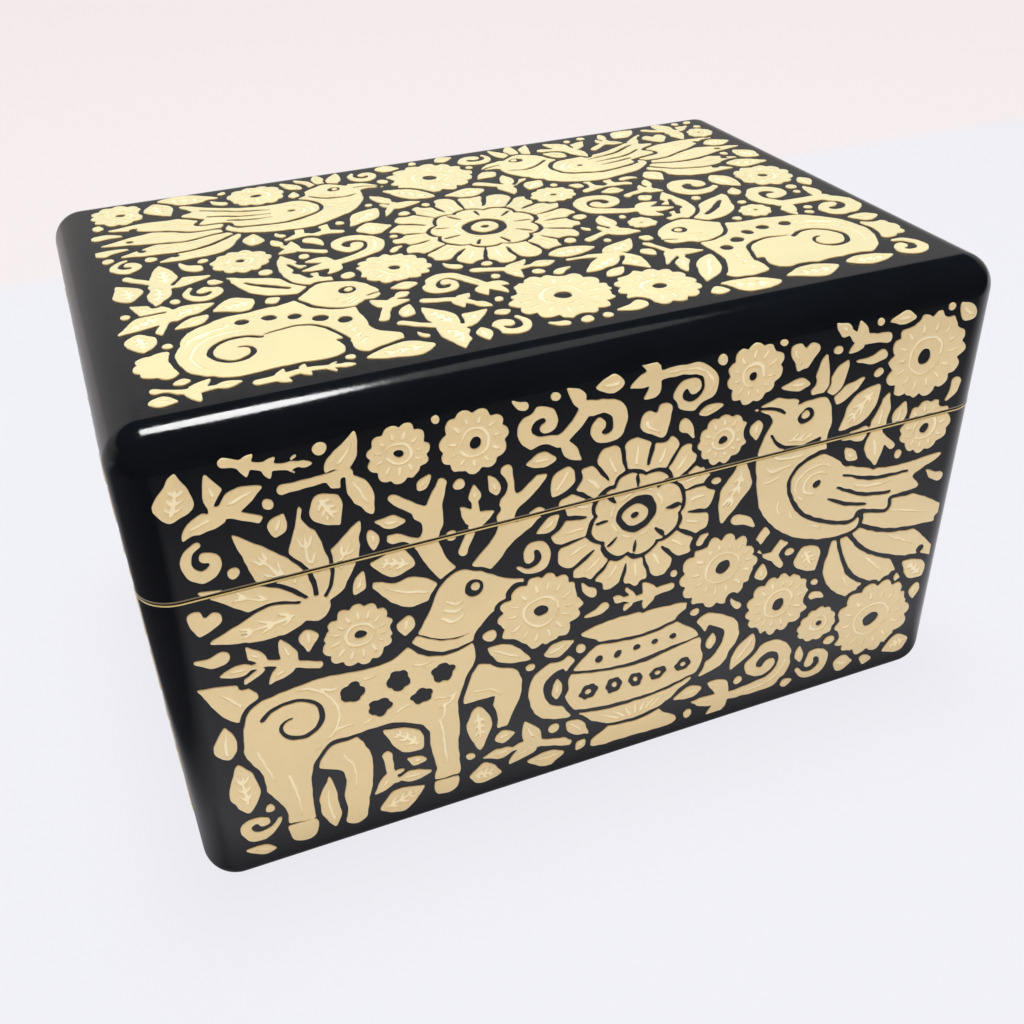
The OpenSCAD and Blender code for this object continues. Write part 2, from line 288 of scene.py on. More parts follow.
class Drawing:
    """Gold on black, for one face. Sizes are in millimetres."""

    def __init__(self, left, right, low, high, seed):
        self.box = (left, right, low, high)
        u = left + GRID * np.arange(int((right - left) / GRID) + 1)
        v = low + GRID * np.arange(int((high - low) / GRID) + 1)
        self.grid_u, self.grid_v = np.meshgrid(u, v)
        self.random = np.random.default_rng(seed)
        self.u = (self.grid_u + self.wobble(*SLOW_WAVER) + self.wobble(*QUICK_WAVER)).astype(np.float32)
        self.v = (self.grid_v + self.wobble(*SLOW_WAVER) + self.wobble(*QUICK_WAVER)).astype(np.float32)
        self.edge = np.minimum.reduce(
            [self.grid_u - left, right - self.grid_u, self.grid_v - low, high - self.grid_v])
        self.gold = np.full(self.u.shape, FAR)
        self.line = np.full(self.u.shape, FAR)
        self.room = np.minimum(FAR, self.edge[::COARSE, ::COARSE] + GAP * EDGE_SHARE)
        self.trying = False

    def wobble(self, amount, scale):
        """A slow random waver, as of a hand."""
        total = np.zeros(self.grid_u.shape)
        for _ in range(WAVES):
            turn, phase = self.random.uniform(0, TURN, 2)
            pitch = TURN / (scale * self.random.uniform(0.7, 1.6))
            total += np.sin(pitch * (self.grid_u * math.cos(turn) + self.grid_v * math.sin(turn)) + phase)
        return total * amount / (WAVES / 2)

    def measure(self, shapes, blend, margin, step=1):
        """Signed distance to shapes joined into one, and the rows and columns of the grid that it covers."""
        points = np.vstack([s[1][:, :2] for s in shapes])
        reach = margin + max([s[1][:, 2].max() for s in shapes if s[1].shape[1] > 2] + [0])
        corner = np.array((self.box[0], self.box[2]))
        i0, j0 = np.maximum((points.min(0) - reach - corner) / GRID / step, 0).astype(int)
        i1, j1 = np.maximum((points.max(0) + reach - corner) / GRID / step + 2, 0).astype(int)
        rows = (slice(j0, j1), slice(i0, i1))
        u, v = self.u[::step, ::step][rows], self.v[::step, ::step][rows]
        total = None
        for shape in shapes:
            d = distance(shape, u, v)
            if total is None:
                total = d
            elif blend:
                h = np.clip(0.5 + 0.5 * (total - d) / blend, 0, 1)
                total = total + (d - total) * h - blend * h * (1 - h)
            else:
                total = np.minimum(total, d)
        return rows, total

    def paint(self, *shapes, gap=GAP, blend=0.0):
        """Lays shapes in gold, joined into one, with a black gap round them."""
        rows, d = self.measure(shapes, blend, FAR, COARSE)
        if self.trying:
            self.laid += (d < 0).sum()
            self.lost += ((d < 0) & (self.room[rows] < TIGHT_SHARE * GAP)).sum()
            return
        self.room[rows] = np.minimum(self.room[rows], d)
        rows, d = self.measure(shapes, blend, GAP + GAP_SPARE)
        self.line[rows] = np.where(d < gap, FAR, self.line[rows])
        self.gold[rows] = np.minimum(np.maximum(self.gold[rows], gap - d), d)

    def fits(self, motif, *place):
        """Whether a motif can be laid at a place without cutting into what is there."""
        self.trying, self.laid, self.lost = True, 0, 0
        motif(self, *place)
        self.trying = False
        return self.laid and self.lost < LOST_SHARE * self.laid

    def cut(self, *shapes):
        """Cuts shapes out of the gold, down to the black."""
        if not self.trying:
            rows, d = self.measure(shapes, blend=0, margin=1)
            self.gold[rows] = np.maximum(self.gold[rows], -d)

    def slit(self, points, width=0.8):
        """Cuts a black line through the gold."""
        self.cut(limb(points, [width / 2, width / 2 * 1.15, width / 3]))

    def scribe(self, points, width=0.45):
        """Scribes a fine line into the gold."""
        if not self.trying:
            stroke = limb(points, [width / 2, width / 2 * 1.1, width / 4])
            rows, d = self.measure([stroke], blend=0, margin=1)
            self.line[rows] = np.minimum(self.line[rows], d)

    def fields(self):
        """The gold, and the scribed lines in it, as fields that are negative inside."""
        gold = blurred(np.clip(np.maximum(self.gold, -self.edge), -FIELD_LIMIT, FIELD_LIMIT), 2)
        line = np.where(self.gold > -LINE_INSET, FAR, self.line)
        return gold, blurred(np.clip(line, -FIELD_LIMIT, FIELD_LIMIT), 1)


class Stamp:
    """A motif drawn round the origin, put on a drawing at a place, size and turn."""

    def __init__(self, drawing, x, y, size=1.0, turn=0.0, flip=1):
        self.drawing = drawing
        self.place = (x, y, size, math.radians(turn), flip)
        self.size = size

    def paint(self, *shapes, gap=GAP, blend=0.0):
        self.drawing.paint(*[moved(s, *self.place) for s in shapes], gap=gap, blend=blend * self.size)

    def cut(self, *shapes):
        self.drawing.cut(*[moved(s, *self.place) for s in shapes])

    def points(self, points):
        """Points of a line, put at the stamp's place."""
        return moved(("area", np.array(points, float)), *self.place)[1]

    def slit(self, points, width=0.85):
        self.drawing.slit(self.points(points), width)

    def scribe(self, points, width=0.45):
        self.drawing.scribe(self.points(points), width)

    def scribe_row(self, count, first, step, width=0.45):
        """Scribes a row of like lines: each point takes its own step from one line to the next."""
        for k in range(count):
            self.scribe(np.array(first) + k * np.array(step), width)

    def eye(self, x, y, r):
        """Cuts a dark eye with a gold pupil."""
        self.cut(disc(x, y, r))
        self.paint(disc(x + 0.15 * r, y + 0.1 * r, r * 0.48), gap=0)


def ring(x, y, r, first=0.0, last=TURN, steps=16):
    """Points on a circle or an arc."""
    return [(x + r * math.cos(a), y + r * math.sin(a)) for a in np.linspace(first, last, steps)]


def coil(x, y, r0, r1, first, sweep, steps=14):
    """A spiral round a point, from one radius to another. Angles are in degrees."""
    t = np.linspace(0, 1, steps)
    a = np.radians(first + sweep * t)
    r = r0 + (r1 - r0) * t
    return list(zip(x + r * np.cos(a), y + r * np.sin(a)))


def ray(angle, *radii):
    """Points at radii along one way out of the origin."""
    return [(r * math.cos(angle), r * math.sin(angle)) for r in radii]


# Motifs
def flower(drawing, x, y, r, petals=14, turn=0.0):
    """A marigold: a scalloped head with a dark eye, a scribed ring and a line on each petal."""
    pen = Stamp(drawing, x, y, r, turn)
    pen.paint(bloom(0, 0, 1, petals, 0.2))
    pen.cut(disc(0, 0, 0.17))
    pen.scribe(ring(0, 0, 0.4))
    if r > LINED_FLOWER:
        for k in range(petals):
            pen.scribe(ray(TURN * k / petals, 0.56, 0.66, 0.8), 0.42)


def dahlia(drawing, x, y, r, petals=16, turn=0.0):
    """A large flower with two rows of petals parted by black slits."""
    pen = Stamp(drawing, x, y, r, turn)
    pen.paint(bloom(0, 0, 1, petals, 0.17))
    for k in range(petals):
        pen.slit(ray(TURN * (k + 0.5) / petals, 0.9, 0.76, 0.63), 0.75)
        pen.scribe(ray(TURN * k / petals, 0.66, 0.76, 0.88))
    pen.paint(bloom(0, 0, 0.56, petals // 2, 0.1, TURN / petals / 2), gap=0.9)
    for k in range(petals // 2):
        pen.slit(ray(TURN * (k + 1) / (petals // 2), 0.5, 0.42, 0.34), 0.7)
    pen.cut(disc(0, 0, 0.24))
    pen.paint(disc(0, 0, 0.15), gap=0)
    pen.cut(disc(0, 0, 0.05))
    pen.scribe(ring(0, 0, 0.3))


def heart(drawing, x, y, size, turn=0.0):
    """A heart with a scribed line along one side."""
    pen = Stamp(drawing, x, y, size, turn)
    pen.paint(area([(0, 0.42), (0.32, 0.78), (0.78, 0.7), (0.92, 0.25), (0.5, -0.4), (0, -0.9),
                    (-0.5, -0.4), (-0.92, 0.25), (-0.78, 0.7), (-0.32, 0.78)]))
    if size > LINED_HEART:
        pen.scribe([(-0.62, 0.35), (-0.5, -0.05), (-0.1, -0.5)])


def frond(drawing, start, end, width, bend=0.0, gap=GAP):
    """A leaf with a scribed rib, and side veins where there is room."""
    drawing.paint(leaf(start, end, width, bend), gap=gap)
    drawing.scribe(rib(start, end, bend))
    _, along, square = across(start, end)
    if width < VEINED_LEAF:
        return
    for point in rib(start, end, bend, 0.25, 0.62)[::2]:
        for way in (1, -1):
            tip = point + 0.12 * along + way * square * width * 0.24
            drawing.scribe([point + way * square * 0.5, (point + tip) / 2 + way * square * 0.15, tip], 0.38)


def sprig(drawing, points, length, width):
    """A stem with pairs of leaves along it and one leaf at its tip."""
    line = spline(points, False, 10)
    far = np.append(0, np.cumsum(np.hypot(*np.diff(line, axis=0).T)))
    pairs = max(1, int(far[-1] / (1.35 * width + 1.4)))
    for k in range(pairs):
        at = (k + 0.5) / pairs
        i = min(int(np.searchsorted(far, at * far[-1])), len(line) - 2)
        along = line[i + 1] - line[i]
        heading = math.atan2(along[1], along[0])
        shrink = 1 - 0.25 * at
        for side in (1, -1):
            a = heading + side * math.radians(48)
            tip = line[i] + length * shrink * np.array([math.cos(a), math.sin(a)])
            frond(drawing, line[i], tip, width * shrink, side * -0.08 * length, gap=0.8)
    along = line[-1] - line[-2]
    tip = line[-1] + length * 0.85 * along / np.hypot(*along)
    frond(drawing, line[-1] - 0.5 * along, tip, width * 0.85, 0, gap=0.8)
    drawing.paint(limb(points, [0.8, 0.6, 0.5]), gap=0)


def twig(drawing, start, end, bend, length):
    """A straight-growing sprig that fills a long gap."""
    start, along, square = across(start, end)
    stem = [start, start + along / 2 + bend * square, end - along / np.hypot(*along) * length * 0.85]
    sprig(drawing, stem, length, length * 0.46)


def scroll(drawing, x, y, size=1.0, turn=0.0, flip=1):
    """A curling tendril with three leaves where it starts."""
    pen = Stamp(drawing, x, y, size, turn, flip)
    path = [(-9, -5.6), (-5.5, -5.9), (-1, -5.7)] + coil(0, 0, 5.6, 1.35, -70, 395, 13)
    pen.paint(limb(path, [0.9, 1.6, 1.6, 1.4, 1.2, 1.05, 1.4]), leaf((-7.6, -5.4), (-12.8, -0.6), 3.3, -0.9),
              leaf((-8.2, -5.6), (-16, -4.6), 3.0, 0.5), leaf((-7.6, -5.8), (-13, -9.4), 2.8, 0.7))
    pen.scribe([(-6, -5.9), (-1, -5.8), (2.8, -4.5), (5.1, -0.8), (4.2, 2.4)], 0.42)


def vine(drawing, x, y, size=1.0, turn=0.0, flip=1):
    """A running tendril that curls both ways."""
    pen = Stamp(drawing, x, y, size, turn, flip)
    for way in (1, -1):
        path = [(0, 0), (2.2, -3.6)] + coil(6.6, 0, 4.7, 1.2, 232, 345, 11)
        path = [(way * a, way * b) for a, b in path]
        stalk = leaf((way * 1.6, way * -3.4), (way * -3.6, way * -7.6), 2.8, 0.5)
        pen.paint(limb(path, [1.2, 1.45, 1.3, 1.1, 1.3]), stalk, gap=GAP if way == 1 else 0)


def curl(drawing, x, y, size=1.0, turn=0.0, flip=1):
    """A small comma scroll."""
    pen = Stamp(drawing, x, y, size, turn, flip)
    pen.paint(limb(coil(0, 0, 3.8, 1.05, -120, 345, 12), [0.45, 1.0, 1.05, 0.95, 1.1]))


def drop(drawing, x, y, length, turn=0.0):
    """A comma of gold, round at one end."""
    pen = Stamp(drawing, x, y, length, turn)
    pen.paint(limb([(-0.36, 0), (0, 0.06), (0.46, -0.1)], [0.24, 0.19, 0.05]))


def palmette(drawing, x, y, length, turn, leaves=5, spread=130):
    """A fan of leaves from one point."""
    for k in range(leaves):
        lean = math.radians(spread * (k / (leaves - 1) - 0.5))
        a = math.radians(turn) + lean
        far = length * (0.72 + 0.28 * math.cos(lean))
        tip = (x + far * math.cos(a), y + far * math.sin(a))
        frond(drawing, (x, y), tip, length * 0.3, 0, gap=0.75)
    drawing.paint(disc(x, y, length * 0.1 + 0.5), gap=0)


def bird(drawing, x, y, size=1.0, turn=0.0, flip=1):
    """A crested bird with a fanned tail and a folded wing."""
    pen = Stamp(drawing, x, y, size, turn, flip)
    feathers = [((-9, -4), (-27, -15), 2.2), ((-9.5, -3), (-33.5, -9), 1.2),
                ((-10, -2), (-36, -1), -0.4), ((-9.5, -1), (-34, 7.4), -1.6)]
    for root, tip, bend in feathers:
        pen.paint(leaf(root, tip, 7.4, bend), gap=FINE_GAP)
        pen.scribe(rib(root, tip, bend, 0.3, 0.72))
        pen.cut(disc(*(np.array(root) + 0.8 * (np.array(tip) - root)), 0.85))
    for foot in (1.0, 6.0):
        toes = [(foot - 2.4, -14), (foot + 0.3, -13.2), (foot + 3.2, -14)]
        pen.paint(limb([(foot, -7), (foot + 0.6, -10.5), (foot + 0.3, -13)], [1.5, 0.9, 0.9]))
        pen.paint(limb(toes, [0.7, 0.95, 0.7]), gap=0)
    for root, tip in (((12, 14.5), (7.6, 22)), ((13.5, 15), (12.4, 24)), ((15, 14.5), (17.6, 22.5))):
        pen.paint(leaf(root, tip, 3.1), gap=0.6)
    trunk = area([(17, 13), (19.6, 9), (18.6, 3), (13, -4.6), (4, -8.6), (-5.5, -7), (-12, -2.4), (-7, 2.4),
                  (1.5, 5.6), (6.8, 9.4), (9, 13.6), (13, 16)])
    beak = sharp([(17.6, 13.8), (21.5, 12.4), (25.2, 8.6), (21.5, 9.4), (18, 8.6)])
    pen.paint(trunk, beak, blend=1.0, gap=FINE_GAP)
    pen.slit([(18.6, 10.9), (21, 10.7), (24, 9.3)], 0.6)
    pen.eye(14.4, 12, 1.55)
    pen.slit([(8.4, 9.2), (11.4, 6.6), (15.4, 5.6), (18.4, 6.6)], 0.8)
    pen.scribe_row(3, [(10, 5.6), (13.4, 3.4), (17, 3.6)], [(0.6, -2.4), (0, -2.4), (-1.4, -2.4)])
    wing = area([(8.6, 3.4), (5.4, 7.6), (-2.4, 7.8), (-10, 10.4), (-19.5, 17), (-16.6, 10.8), (-19.4, 9.2),
                 (-14.6, 5.8), (-15.8, 3), (-10, 1), (-9, -1.6), (0, -3.4), (6, -1.4)])
    pen.paint(wing, gap=FINE_GAP)
    pen.slit([(-14.6, 11), (-8, 7.2), (-1, 5.2)], 0.75)
    pen.slit([(-14, 6.6), (-8, 4), (-1.6, 2.8)], 0.75)
    pen.slit([(-10.4, 2.4), (-6, 1), (-1.6, 0.4)], 0.75)
    pen.scribe(ring(3.2, 2.2, 2.2, -2.2, 2.2))
    pen.scribe(ring(3.2, 2.2, 3.8, -1.5, 2.4))
    pen.cut(disc(3.0, 2.2, 0.8))
    pen.scribe_row(3, [(-12.6, 8.4), (-8.2, 5.8), (-3.6, 4.2)], [(1.6, -3.2), (1.2, -2.6), (0, -2.1)], 0.4)
    pen.scribe_row(4, [(8.4, -3.6), (7.4, -5.0), (5.2, -5.9)], [(-3.6, -0.5), (-3.6, 0), (-3.4, 0.4)], 0.4)
    pen.scribe_row(3, [(10.6, 9.6), (11.2, 8.2), (12.4, 7.4)], [(1.3, -0.5), (1.3, -0.5), (1.2, -0.3)], 0.4)


def deer(drawing, x, y, size=1.0, turn=0.0, flip=1):
    """A stag with branching antlers and one foreleg lifted."""
    pen = Stamp(drawing, x, y, size, turn, flip)
    beam, low_tine, high_tine = [1.5, 1.25, 0.8], [1.15, 0.75], [1.1, 0.7]
    pen.paint(limb([(12.4, 31), (9.6, 37), (11.6, 46)], beam), limb([(10.0, 36), (4.6, 40)], low_tine),
              limb([(10.3, 40.6), (5.6, 45.4)], high_tine), limb([(15, 31), (19.4, 36), (20.2, 45.5)], beam),
              limb([(19.0, 35.2), (24.4, 38)], low_tine), limb([(20, 39.6), (25, 43.6)], high_tine),
              blend=0.8)
    ear_and_tail = (((10.6, 29.8), (1.6, 33.6), 4.4, 0.5), ((-15.2, 17), (-21.5, 24.6), 5.2, -1.0))
    for root, tip, width, bend in ear_and_tail:
        pen.paint(leaf(root, tip, width, bend), gap=0.6)
        pen.scribe(rib(root, tip, bend))
    pen.paint(limb([(9, 13), (18.6, 11.4), (17.6, 4)], [4.0, 2.4, 1.6]))
    pen.paint(limb([(-8, 10), (-3.4, 4.4), (-4.6, -5.4)], [4.2, 2.3, 1.7]))
    trunk = area([(22.4, 27.8), (22.4, 25.2), (17.8, 24.2), (14.8, 21.6), (14.2, 16.6), (12.0, 11.4),
                  (11.6, 5), (11.2, -0.6), (10.8, -6), (7.4, -6), (7.6, 0), (6.4, 7), (2.6, 10), (-3.2, 9.8),
                  (-7.2, 9.6), (-9.6, 5), (-9.8, 1), (-10.2, -6), (-13.6, -6), (-14, -0.4), (-15.2, 3),
                  (-17, 9), (-17.6, 15), (-14.2, 20), (-7, 21), (0, 20.4), (5.4, 22), (8.2, 26), (10.2, 30),
                  (12.8, 32.4), (16.2, 31.4), (19.4, 29.2)])
    pen.paint(trunk, gap=FINE_GAP)
    pen.eye(15.2, 28.9, 1.35)
    pen.slit([(18.8, 25.6), (20.8, 25.9), (22.8, 26.2)], 0.55)
    pen.slit([(5.4, 22.4), (8.4, 20.2), (11.6, 19.4), (14.6, 20.2)], 0.8)
    pen.slit([(6.4, 24), (9.4, 22.2), (12.2, 21.6), (15.0, 22.6)], 0.5)
    pen.scribe_row(3, [(10.2, 25.4), (11.8, 24.6), (13.4, 25.2)], [(0.4, 1.2), (0.2, 1.2), (0, 1.1)])
    for hoof in (9.2, -11.9):
        pen.slit([(hoof - 2.4, -3.4), (hoof + 2.4, -3.4)], 0.6)
    pen.slit(coil(-10.4, 14.6, 4.6, 1.2, 150, -400), 0.85)
    pen.scribe(coil(-10.4, 14.6, 6.0, 5.4, 120, -200))
    pen.scribe([(8.8, 8), (9.4, 3), (9.2, -2)])
    pen.scribe([(-12.4, 6), (-11.8, 2), (-12, -2)])
    pen.scribe_row(4, [(-6.4, 19.4), (-4.8, 18.7), (-2.6, 18.9)], [(4.2, -0.1), (4.2, 0), (4.1, 0.1)], 0.4)
    pen.scribe_row(4, [(-6.0, 11.4), (-4.2, 12.0), (-2.2, 11.6)], [(4.4, 0), (4.4, 0), (4.4, 0)], 0.4)
    chest = [(12.6, 13.6), (11.6, 12.2), (9.2, 11.4)]
    pen.scribe_row(3, chest, [(-1.3, -1.6), (-1.0, -1.8), (-0.4, -1.6)], 0.4)
    for fold in ([(14.0, 11.6), (17.0, 10.8), (17.9, 8.0)], [(-5.0, 7.0), (-3.8, 3.6), (-4.3, -1.4)],
                 [(-16.0, 12.0), (-15.4, 8.4), (-14.0, 5.0)]):
        pen.scribe(fold, 0.4)
    for k, (px, py) in enumerate([(-2.4, 17.2), (0.8, 13.4), (3.6, 17.2), (6.6, 13.2), (10, 16.2)]):
        pen.cut(bloom(px, py, 1.75, 5, 0.6, k))


def rabbit(drawing, x, y, size=1.0, turn=0.0, flip=1):
    """A sitting rabbit with long ears."""
    pen = Stamp(drawing, x, y, size, turn, flip)
    pen.paint(bloom(-17.8, 5.6, 4.2, 8, 0.9))
    for root, tip, bend in (((7.8, 22), (-4.6, 33), 1.0), ((10, 23), (5.2, 38), 0.6)):
        pen.paint(leaf(root, tip, 6.4, bend), gap=0.9)
        pen.slit(rib(root, tip, bend, 0.3, 0.75), 1.1)
    trunk = area([(16.4, 18.4), (15.6, 15.4), (11.8, 13.8), (11.6, 9), (11.8, 4), (14.8, 1), (13.4, -1.6),
                  (8, -1.6), (7.2, 2.6), (5.4, 3.4), (6.2, 0.6), (4.4, -1.6), (-4, -1.8), (-10.6, -1.8),
                  (-15, 1.8), (-16, 8.6), (-12, 15.4), (-4.4, 18.4), (2.4, 18.8), (5.4, 21), (8.8, 24.2),
                  (13.4, 22.8)])
    pen.paint(trunk, gap=1.0)
    pen.eye(12.0, 19.8, 1.45)
    pen.slit([(14.2, 16.4), (15.6, 17.0), (16.6, 17.2)], 0.5)
    pen.scribe_row(3, [(12.8, 17.4), (10.8, 16.8), (8.6, 17.0)], [(0, -0.8), (0, -1.2), (0, -1.7)])
    pen.slit([(3.8, 19.4), (5.8, 15.4), (8.8, 13.6), (12, 13.4)], 0.8)
    pen.slit([(7.4, 2.6), (5.6, 8), (1.6, 10.4), (-3, 9.6)], 0.8)
    pen.slit(coil(-7.6, 5.6, 5.2, 1.3, 40, 400), 0.9)
    pen.scribe(coil(-7.6, 5.6, 7.0, 6.4, 70, 150))
    pen.scribe_row(4, [(-13.6, 12.2), (-11.4, 12.6), (-9.4, 14.2)], [(2.6, 1.4), (2.4, 1.2), (2.6, 1)], 0.4)
    pen.scribe_row(4, [(9.9, 8.6), (9.0, 7.6), (9.5, 6.4)], [(0, -2.2), (0, -2.2), (0, -2.1)], 0.4)
    pen.scribe(coil(-7.6, 5.6, 3.6, 3.2, 200, 170), 0.4)
    pen.scribe(coil(-7.6, 5.6, 8.6, 8.4, 95, 90), 0.4)
    for px, py in ((-1.4, 14.8), (2.4, 13.8), (-5.4, 15), (8.8, 9.6), (5.6, 11.4)):
        pen.cut(disc(px, py, 1.15))


def urn(drawing, x, y, size=1.0):
    """A footed jar with two scrolled handles."""
    pen = Stamp(drawing, x, y, size)
    handle = limb([(11, 10), (17.6, 12.6), (18.8, 19), (14, 22.4), (11.6, 18.8)], [1.4, 1.5, 1.4, 1.3, 1.5])
    for flip in (-1, 1):
        Stamp(drawing, x, y, size, 0, flip).paint(handle)
    half = [(7.6, 0), (8.8, 1.6), (5.2, 4.4), (10.6, 8.6), (13.6, 14.6), (11.8, 20.6), (7.4, 24.4),
            (10.4, 27.6)]
    pen.paint(area([(0, -0.4)] + half + [(0, 28.4)] + [(-a, b) for a, b in half[::-1]]))
    pen.slit([(-6.4, 4.6), (0, 4.0), (6.4, 4.6)], 0.85)
    pen.slit([(-8.2, 24.2), (0, 23.4), (8.2, 24.2)], 0.85)
    pen.slit([(-12.4, 19.2), (-6, 18.0), (0, 17.6), (6, 18.0), (12.4, 19.2)], 0.85)
    pen.slit([(-12.2, 10.2), (-6, 9.0), (0, 8.6), (6, 9.0), (12.2, 10.2)], 0.85)
    for k in range(-2, 3):
        pen.cut(disc(k * 3.6, 20.6 + 0.1 * k * k, 0.75))
        pen.cut(bloom(k * 4.6, 13.3 + 0.12 * k * k, 1.7, 6, 0.4, k))
        pen.paint(disc(k * 4.6, 13.3 + 0.12 * k * k, 0.55), gap=0)
    for k in range(-3, 4):
        pen.scribe([(k * 1.0, 5.2), (k * 1.5, 6.4), (k * 2.2, 7.6)])


def longest_way(room, j, i, free):
    """The length of the longest free line through a place, its angle, and how far it goes each way."""
    far = np.arange(-LOOK_FAR, LOOK_FAR + LOOK_STEP / 2, LOOK_STEP)
    middle = len(far) // 2
    best = (0,)
    for a in np.arange(LOOK_WAYS) * math.pi / LOOK_WAYS:
        jj = np.clip((j + far * math.sin(a) / GRID / COARSE).astype(int), 0, room.shape[0] - 1)
        ii = np.clip((i + far * math.cos(a) / GRID / COARSE).astype(int), 0, room.shape[1] - 1)
        shut = np.nonzero(room[jj, ii] < GAP + LOOK_SHARE * free)[0]
        back = far[shut[shut < middle]].max(initial=-LOOK_FAR - LOOK_STEP) + LOOK_STEP
        ahead = far[shut[shut > middle]].min(initial=LOOK_FAR + LOOK_STEP) - LOOK_STEP
        best = max(best, (ahead - back, a, back, ahead))
    return best


def fill_gaps(drawing, smallest=0.65):
    """Fills what is left black with small flowers, leaves, tendrils and dots, the widest gaps first."""
    while True:
        room = drawing.room
        j, i = np.unravel_index(np.argmax(room), room.shape)
        free = room[j, i] - GAP
        if free < smallest:
            return
        x, y = (float(g[j * COARSE, i * COARSE]) for g in (drawing.u, drawing.v))
        length, a, back, ahead = longest_way(room, j, i, free)
        way = np.array([math.cos(a), math.sin(a)])
        start, end = np.array([x, y]) + back * way, np.array([x, y]) + ahead * way
        pick, turn = drawing.random.uniform(0, 1), drawing.random.uniform(0, 360)
        heading = math.degrees(a)
        flip = 1 if turn > 180 else -1
        choices = []
        if free > SCROLL_ROOM:
            choices += [(scroll, x + 2.5 * way[0], y + 2.5 * way[1], size, heading + half, flip)
                        for half in (0, 180) for size in (1.0, 0.82, 0.68)]
            choices += [(vine, x, y, size, heading, flip) for size in (1.0, 0.82)]
            choices += [(palmette, *start, min(length, 14), heading),
                        (palmette, *end, min(length, 14), heading + 180)]
        if free > TWIG_ROOM and length > TWIG_LENGTH:
            choices += [(twig, *ends, 0.6 * flip, free * 1.5) for ends in ((start, end), (end, start))] * 3
        if free > CURL_ROOM:
            choices += [(curl, x, y, (free + 0.5) / 4.6, turn, flip)]
        order = drawing.random.permutation(len(choices))
        chosen = next((choices[k] for k in order if drawing.fits(*choices[k])), None)
        if free > FLOWER_ROOM and (pick < 0.35 or chosen is None):
            flower(drawing, x, y, min(free, 7.2), 14 if free > 6 else 11, turn)
        elif chosen is not None:
            chosen[0](drawing, *chosen[1:])
        elif length > 2.8 * free and free > LEAF_ROOM:
            if pick < 0.5:
                start, end = end, start
            frond(drawing, start, end, min(2.3 * free, 5.2), drawing.random.uniform(-0.4, 0.4))
        elif free > SMALL_FLOWER_ROOM and pick < 0.55:
            flower(drawing, x, y, free + 0.2, 9, turn)
        elif free > SMALL_FLOWER_ROOM:
            heart(drawing, x, y, min(free + 0.5, 3.4), drawing.random.uniform(-25, 25))
        elif free > DROP_ROOM and length > 1.8 * free:
            drop(drawing, x, y, min(length, 3.4 * free), heading + 180 * round(pick))
        else:
            drawing.paint(disc(x, y, min(free, DROP_ROOM) + 0.1))


# Layouts: what stands where on each face, from its lower middle, or from the middle of the top
def front_layout(drawing):
    deer(drawing, -43, 15.5, 1.25)
    bird(drawing, 42, 51, 1.02, -34, -1)
    urn(drawing, 6, 7, 1.04)
    dahlia(drawing, 5, 58, 15.2, 16)
    flower(drawing, -12.5, 43, 7.8)
    flower(drawing, 22.8, 41.5, 8)
    scroll(drawing, 14, 79, 0.7, 180, -1)
    scroll(drawing, 34, 15, 1.0, 0, 1)
    flower(drawing, 60, 75.5, 8.2)
    flower(drawing, 58.5, 18, 9.2)
    palmette(drawing, -50, 56, 19.5, 122, 5, 128)


def top_layout(drawing):
    dahlia(drawing, 0, 2, 18, 18)
    for way in (1, -1):
        rabbit(drawing, -44 * way, -37, 1.08, 0, way)
        bird(drawing, -33.5 * way, 25, 0.93, 0, way)
        scroll(drawing, -25 * way, 4, 0.85, 20 * way, way)
    flower(drawing, 0, 34, 9)
    flower(drawing, 0, -33, 9)


def left_layout(drawing):
    bird(drawing, -1, 52, 1.0, 0, 1)
    urn(drawing, 20, 9.5, 0.85)
    flower(drawing, 10, 39, 5.5)
    flower(drawing, 31, 38, 6.5)
    rabbit(drawing, -22, 11, 0.9)


def right_layout(drawing):
    deer(drawing, 19, 16, 1.0, 0, -1)
    dahlia(drawing, -27, 49, 13, 16)
    rabbit(drawing, -23, 11, 0.85)


def back_layout(drawing):
    dahlia(drawing, 0, 34, 15, 16)
    for way in (1, -1):
        bird(drawing, -34 * way, 34, 0.94, 0, way)


# Each face: layout, seed, half its width, half its height, and its margins at the sides, below and above
FACES = {
    "front": (front_layout, 11, WIDTH / 2, HEIGHT / 2, (5.0, 6.0, 5.0)),
    "top": (top_layout, 23, WIDTH / 2, DEPTH / 2, (6.5, 7.0, 6.0)),
    "left": (left_layout, 37, DEPTH / 2, HEIGHT / 2, (9.0, 8.0, 9.0)),
    "right": (right_layout, 41, DEPTH / 2, HEIGHT / 2, (9.0, 8.0, 9.0)),
    "back": (back_layout, 53, WIDTH / 2, HEIGHT / 2, (6.0, 7.0, 6.0)),
}


# Relief: outlines of the drawing, filled, raised and rounded

# Sides of a grid cell that an outline joins, by which of the cell's corners lie inside
SEGMENTS = {1: "BL", 2: "RB", 4: "TR", 8: "LT", 3: "RL", 6: "TB", 12: "LR", 9: "BT", 7: "TL", 14: "LB",
            13: "BR", 11: "RT", 5: "BLTR", 10: "RBLT"}

# Rounded shoulders of the gold and of a scribed line's floor, in millimetres, and their two steps as shares
GOLD_SHOULDER, LINE_SHOULDER = 0.12, 0.02
SHOULDER_STEPS = ((0.3, 0.62), (0.7, 0.38))

# How far a scribed line's floor keeps from the gold's outer edge and reaches under the gold, in millimetres
GROOVE_INSET, GROOVE_REACH = 0.1, 0.4


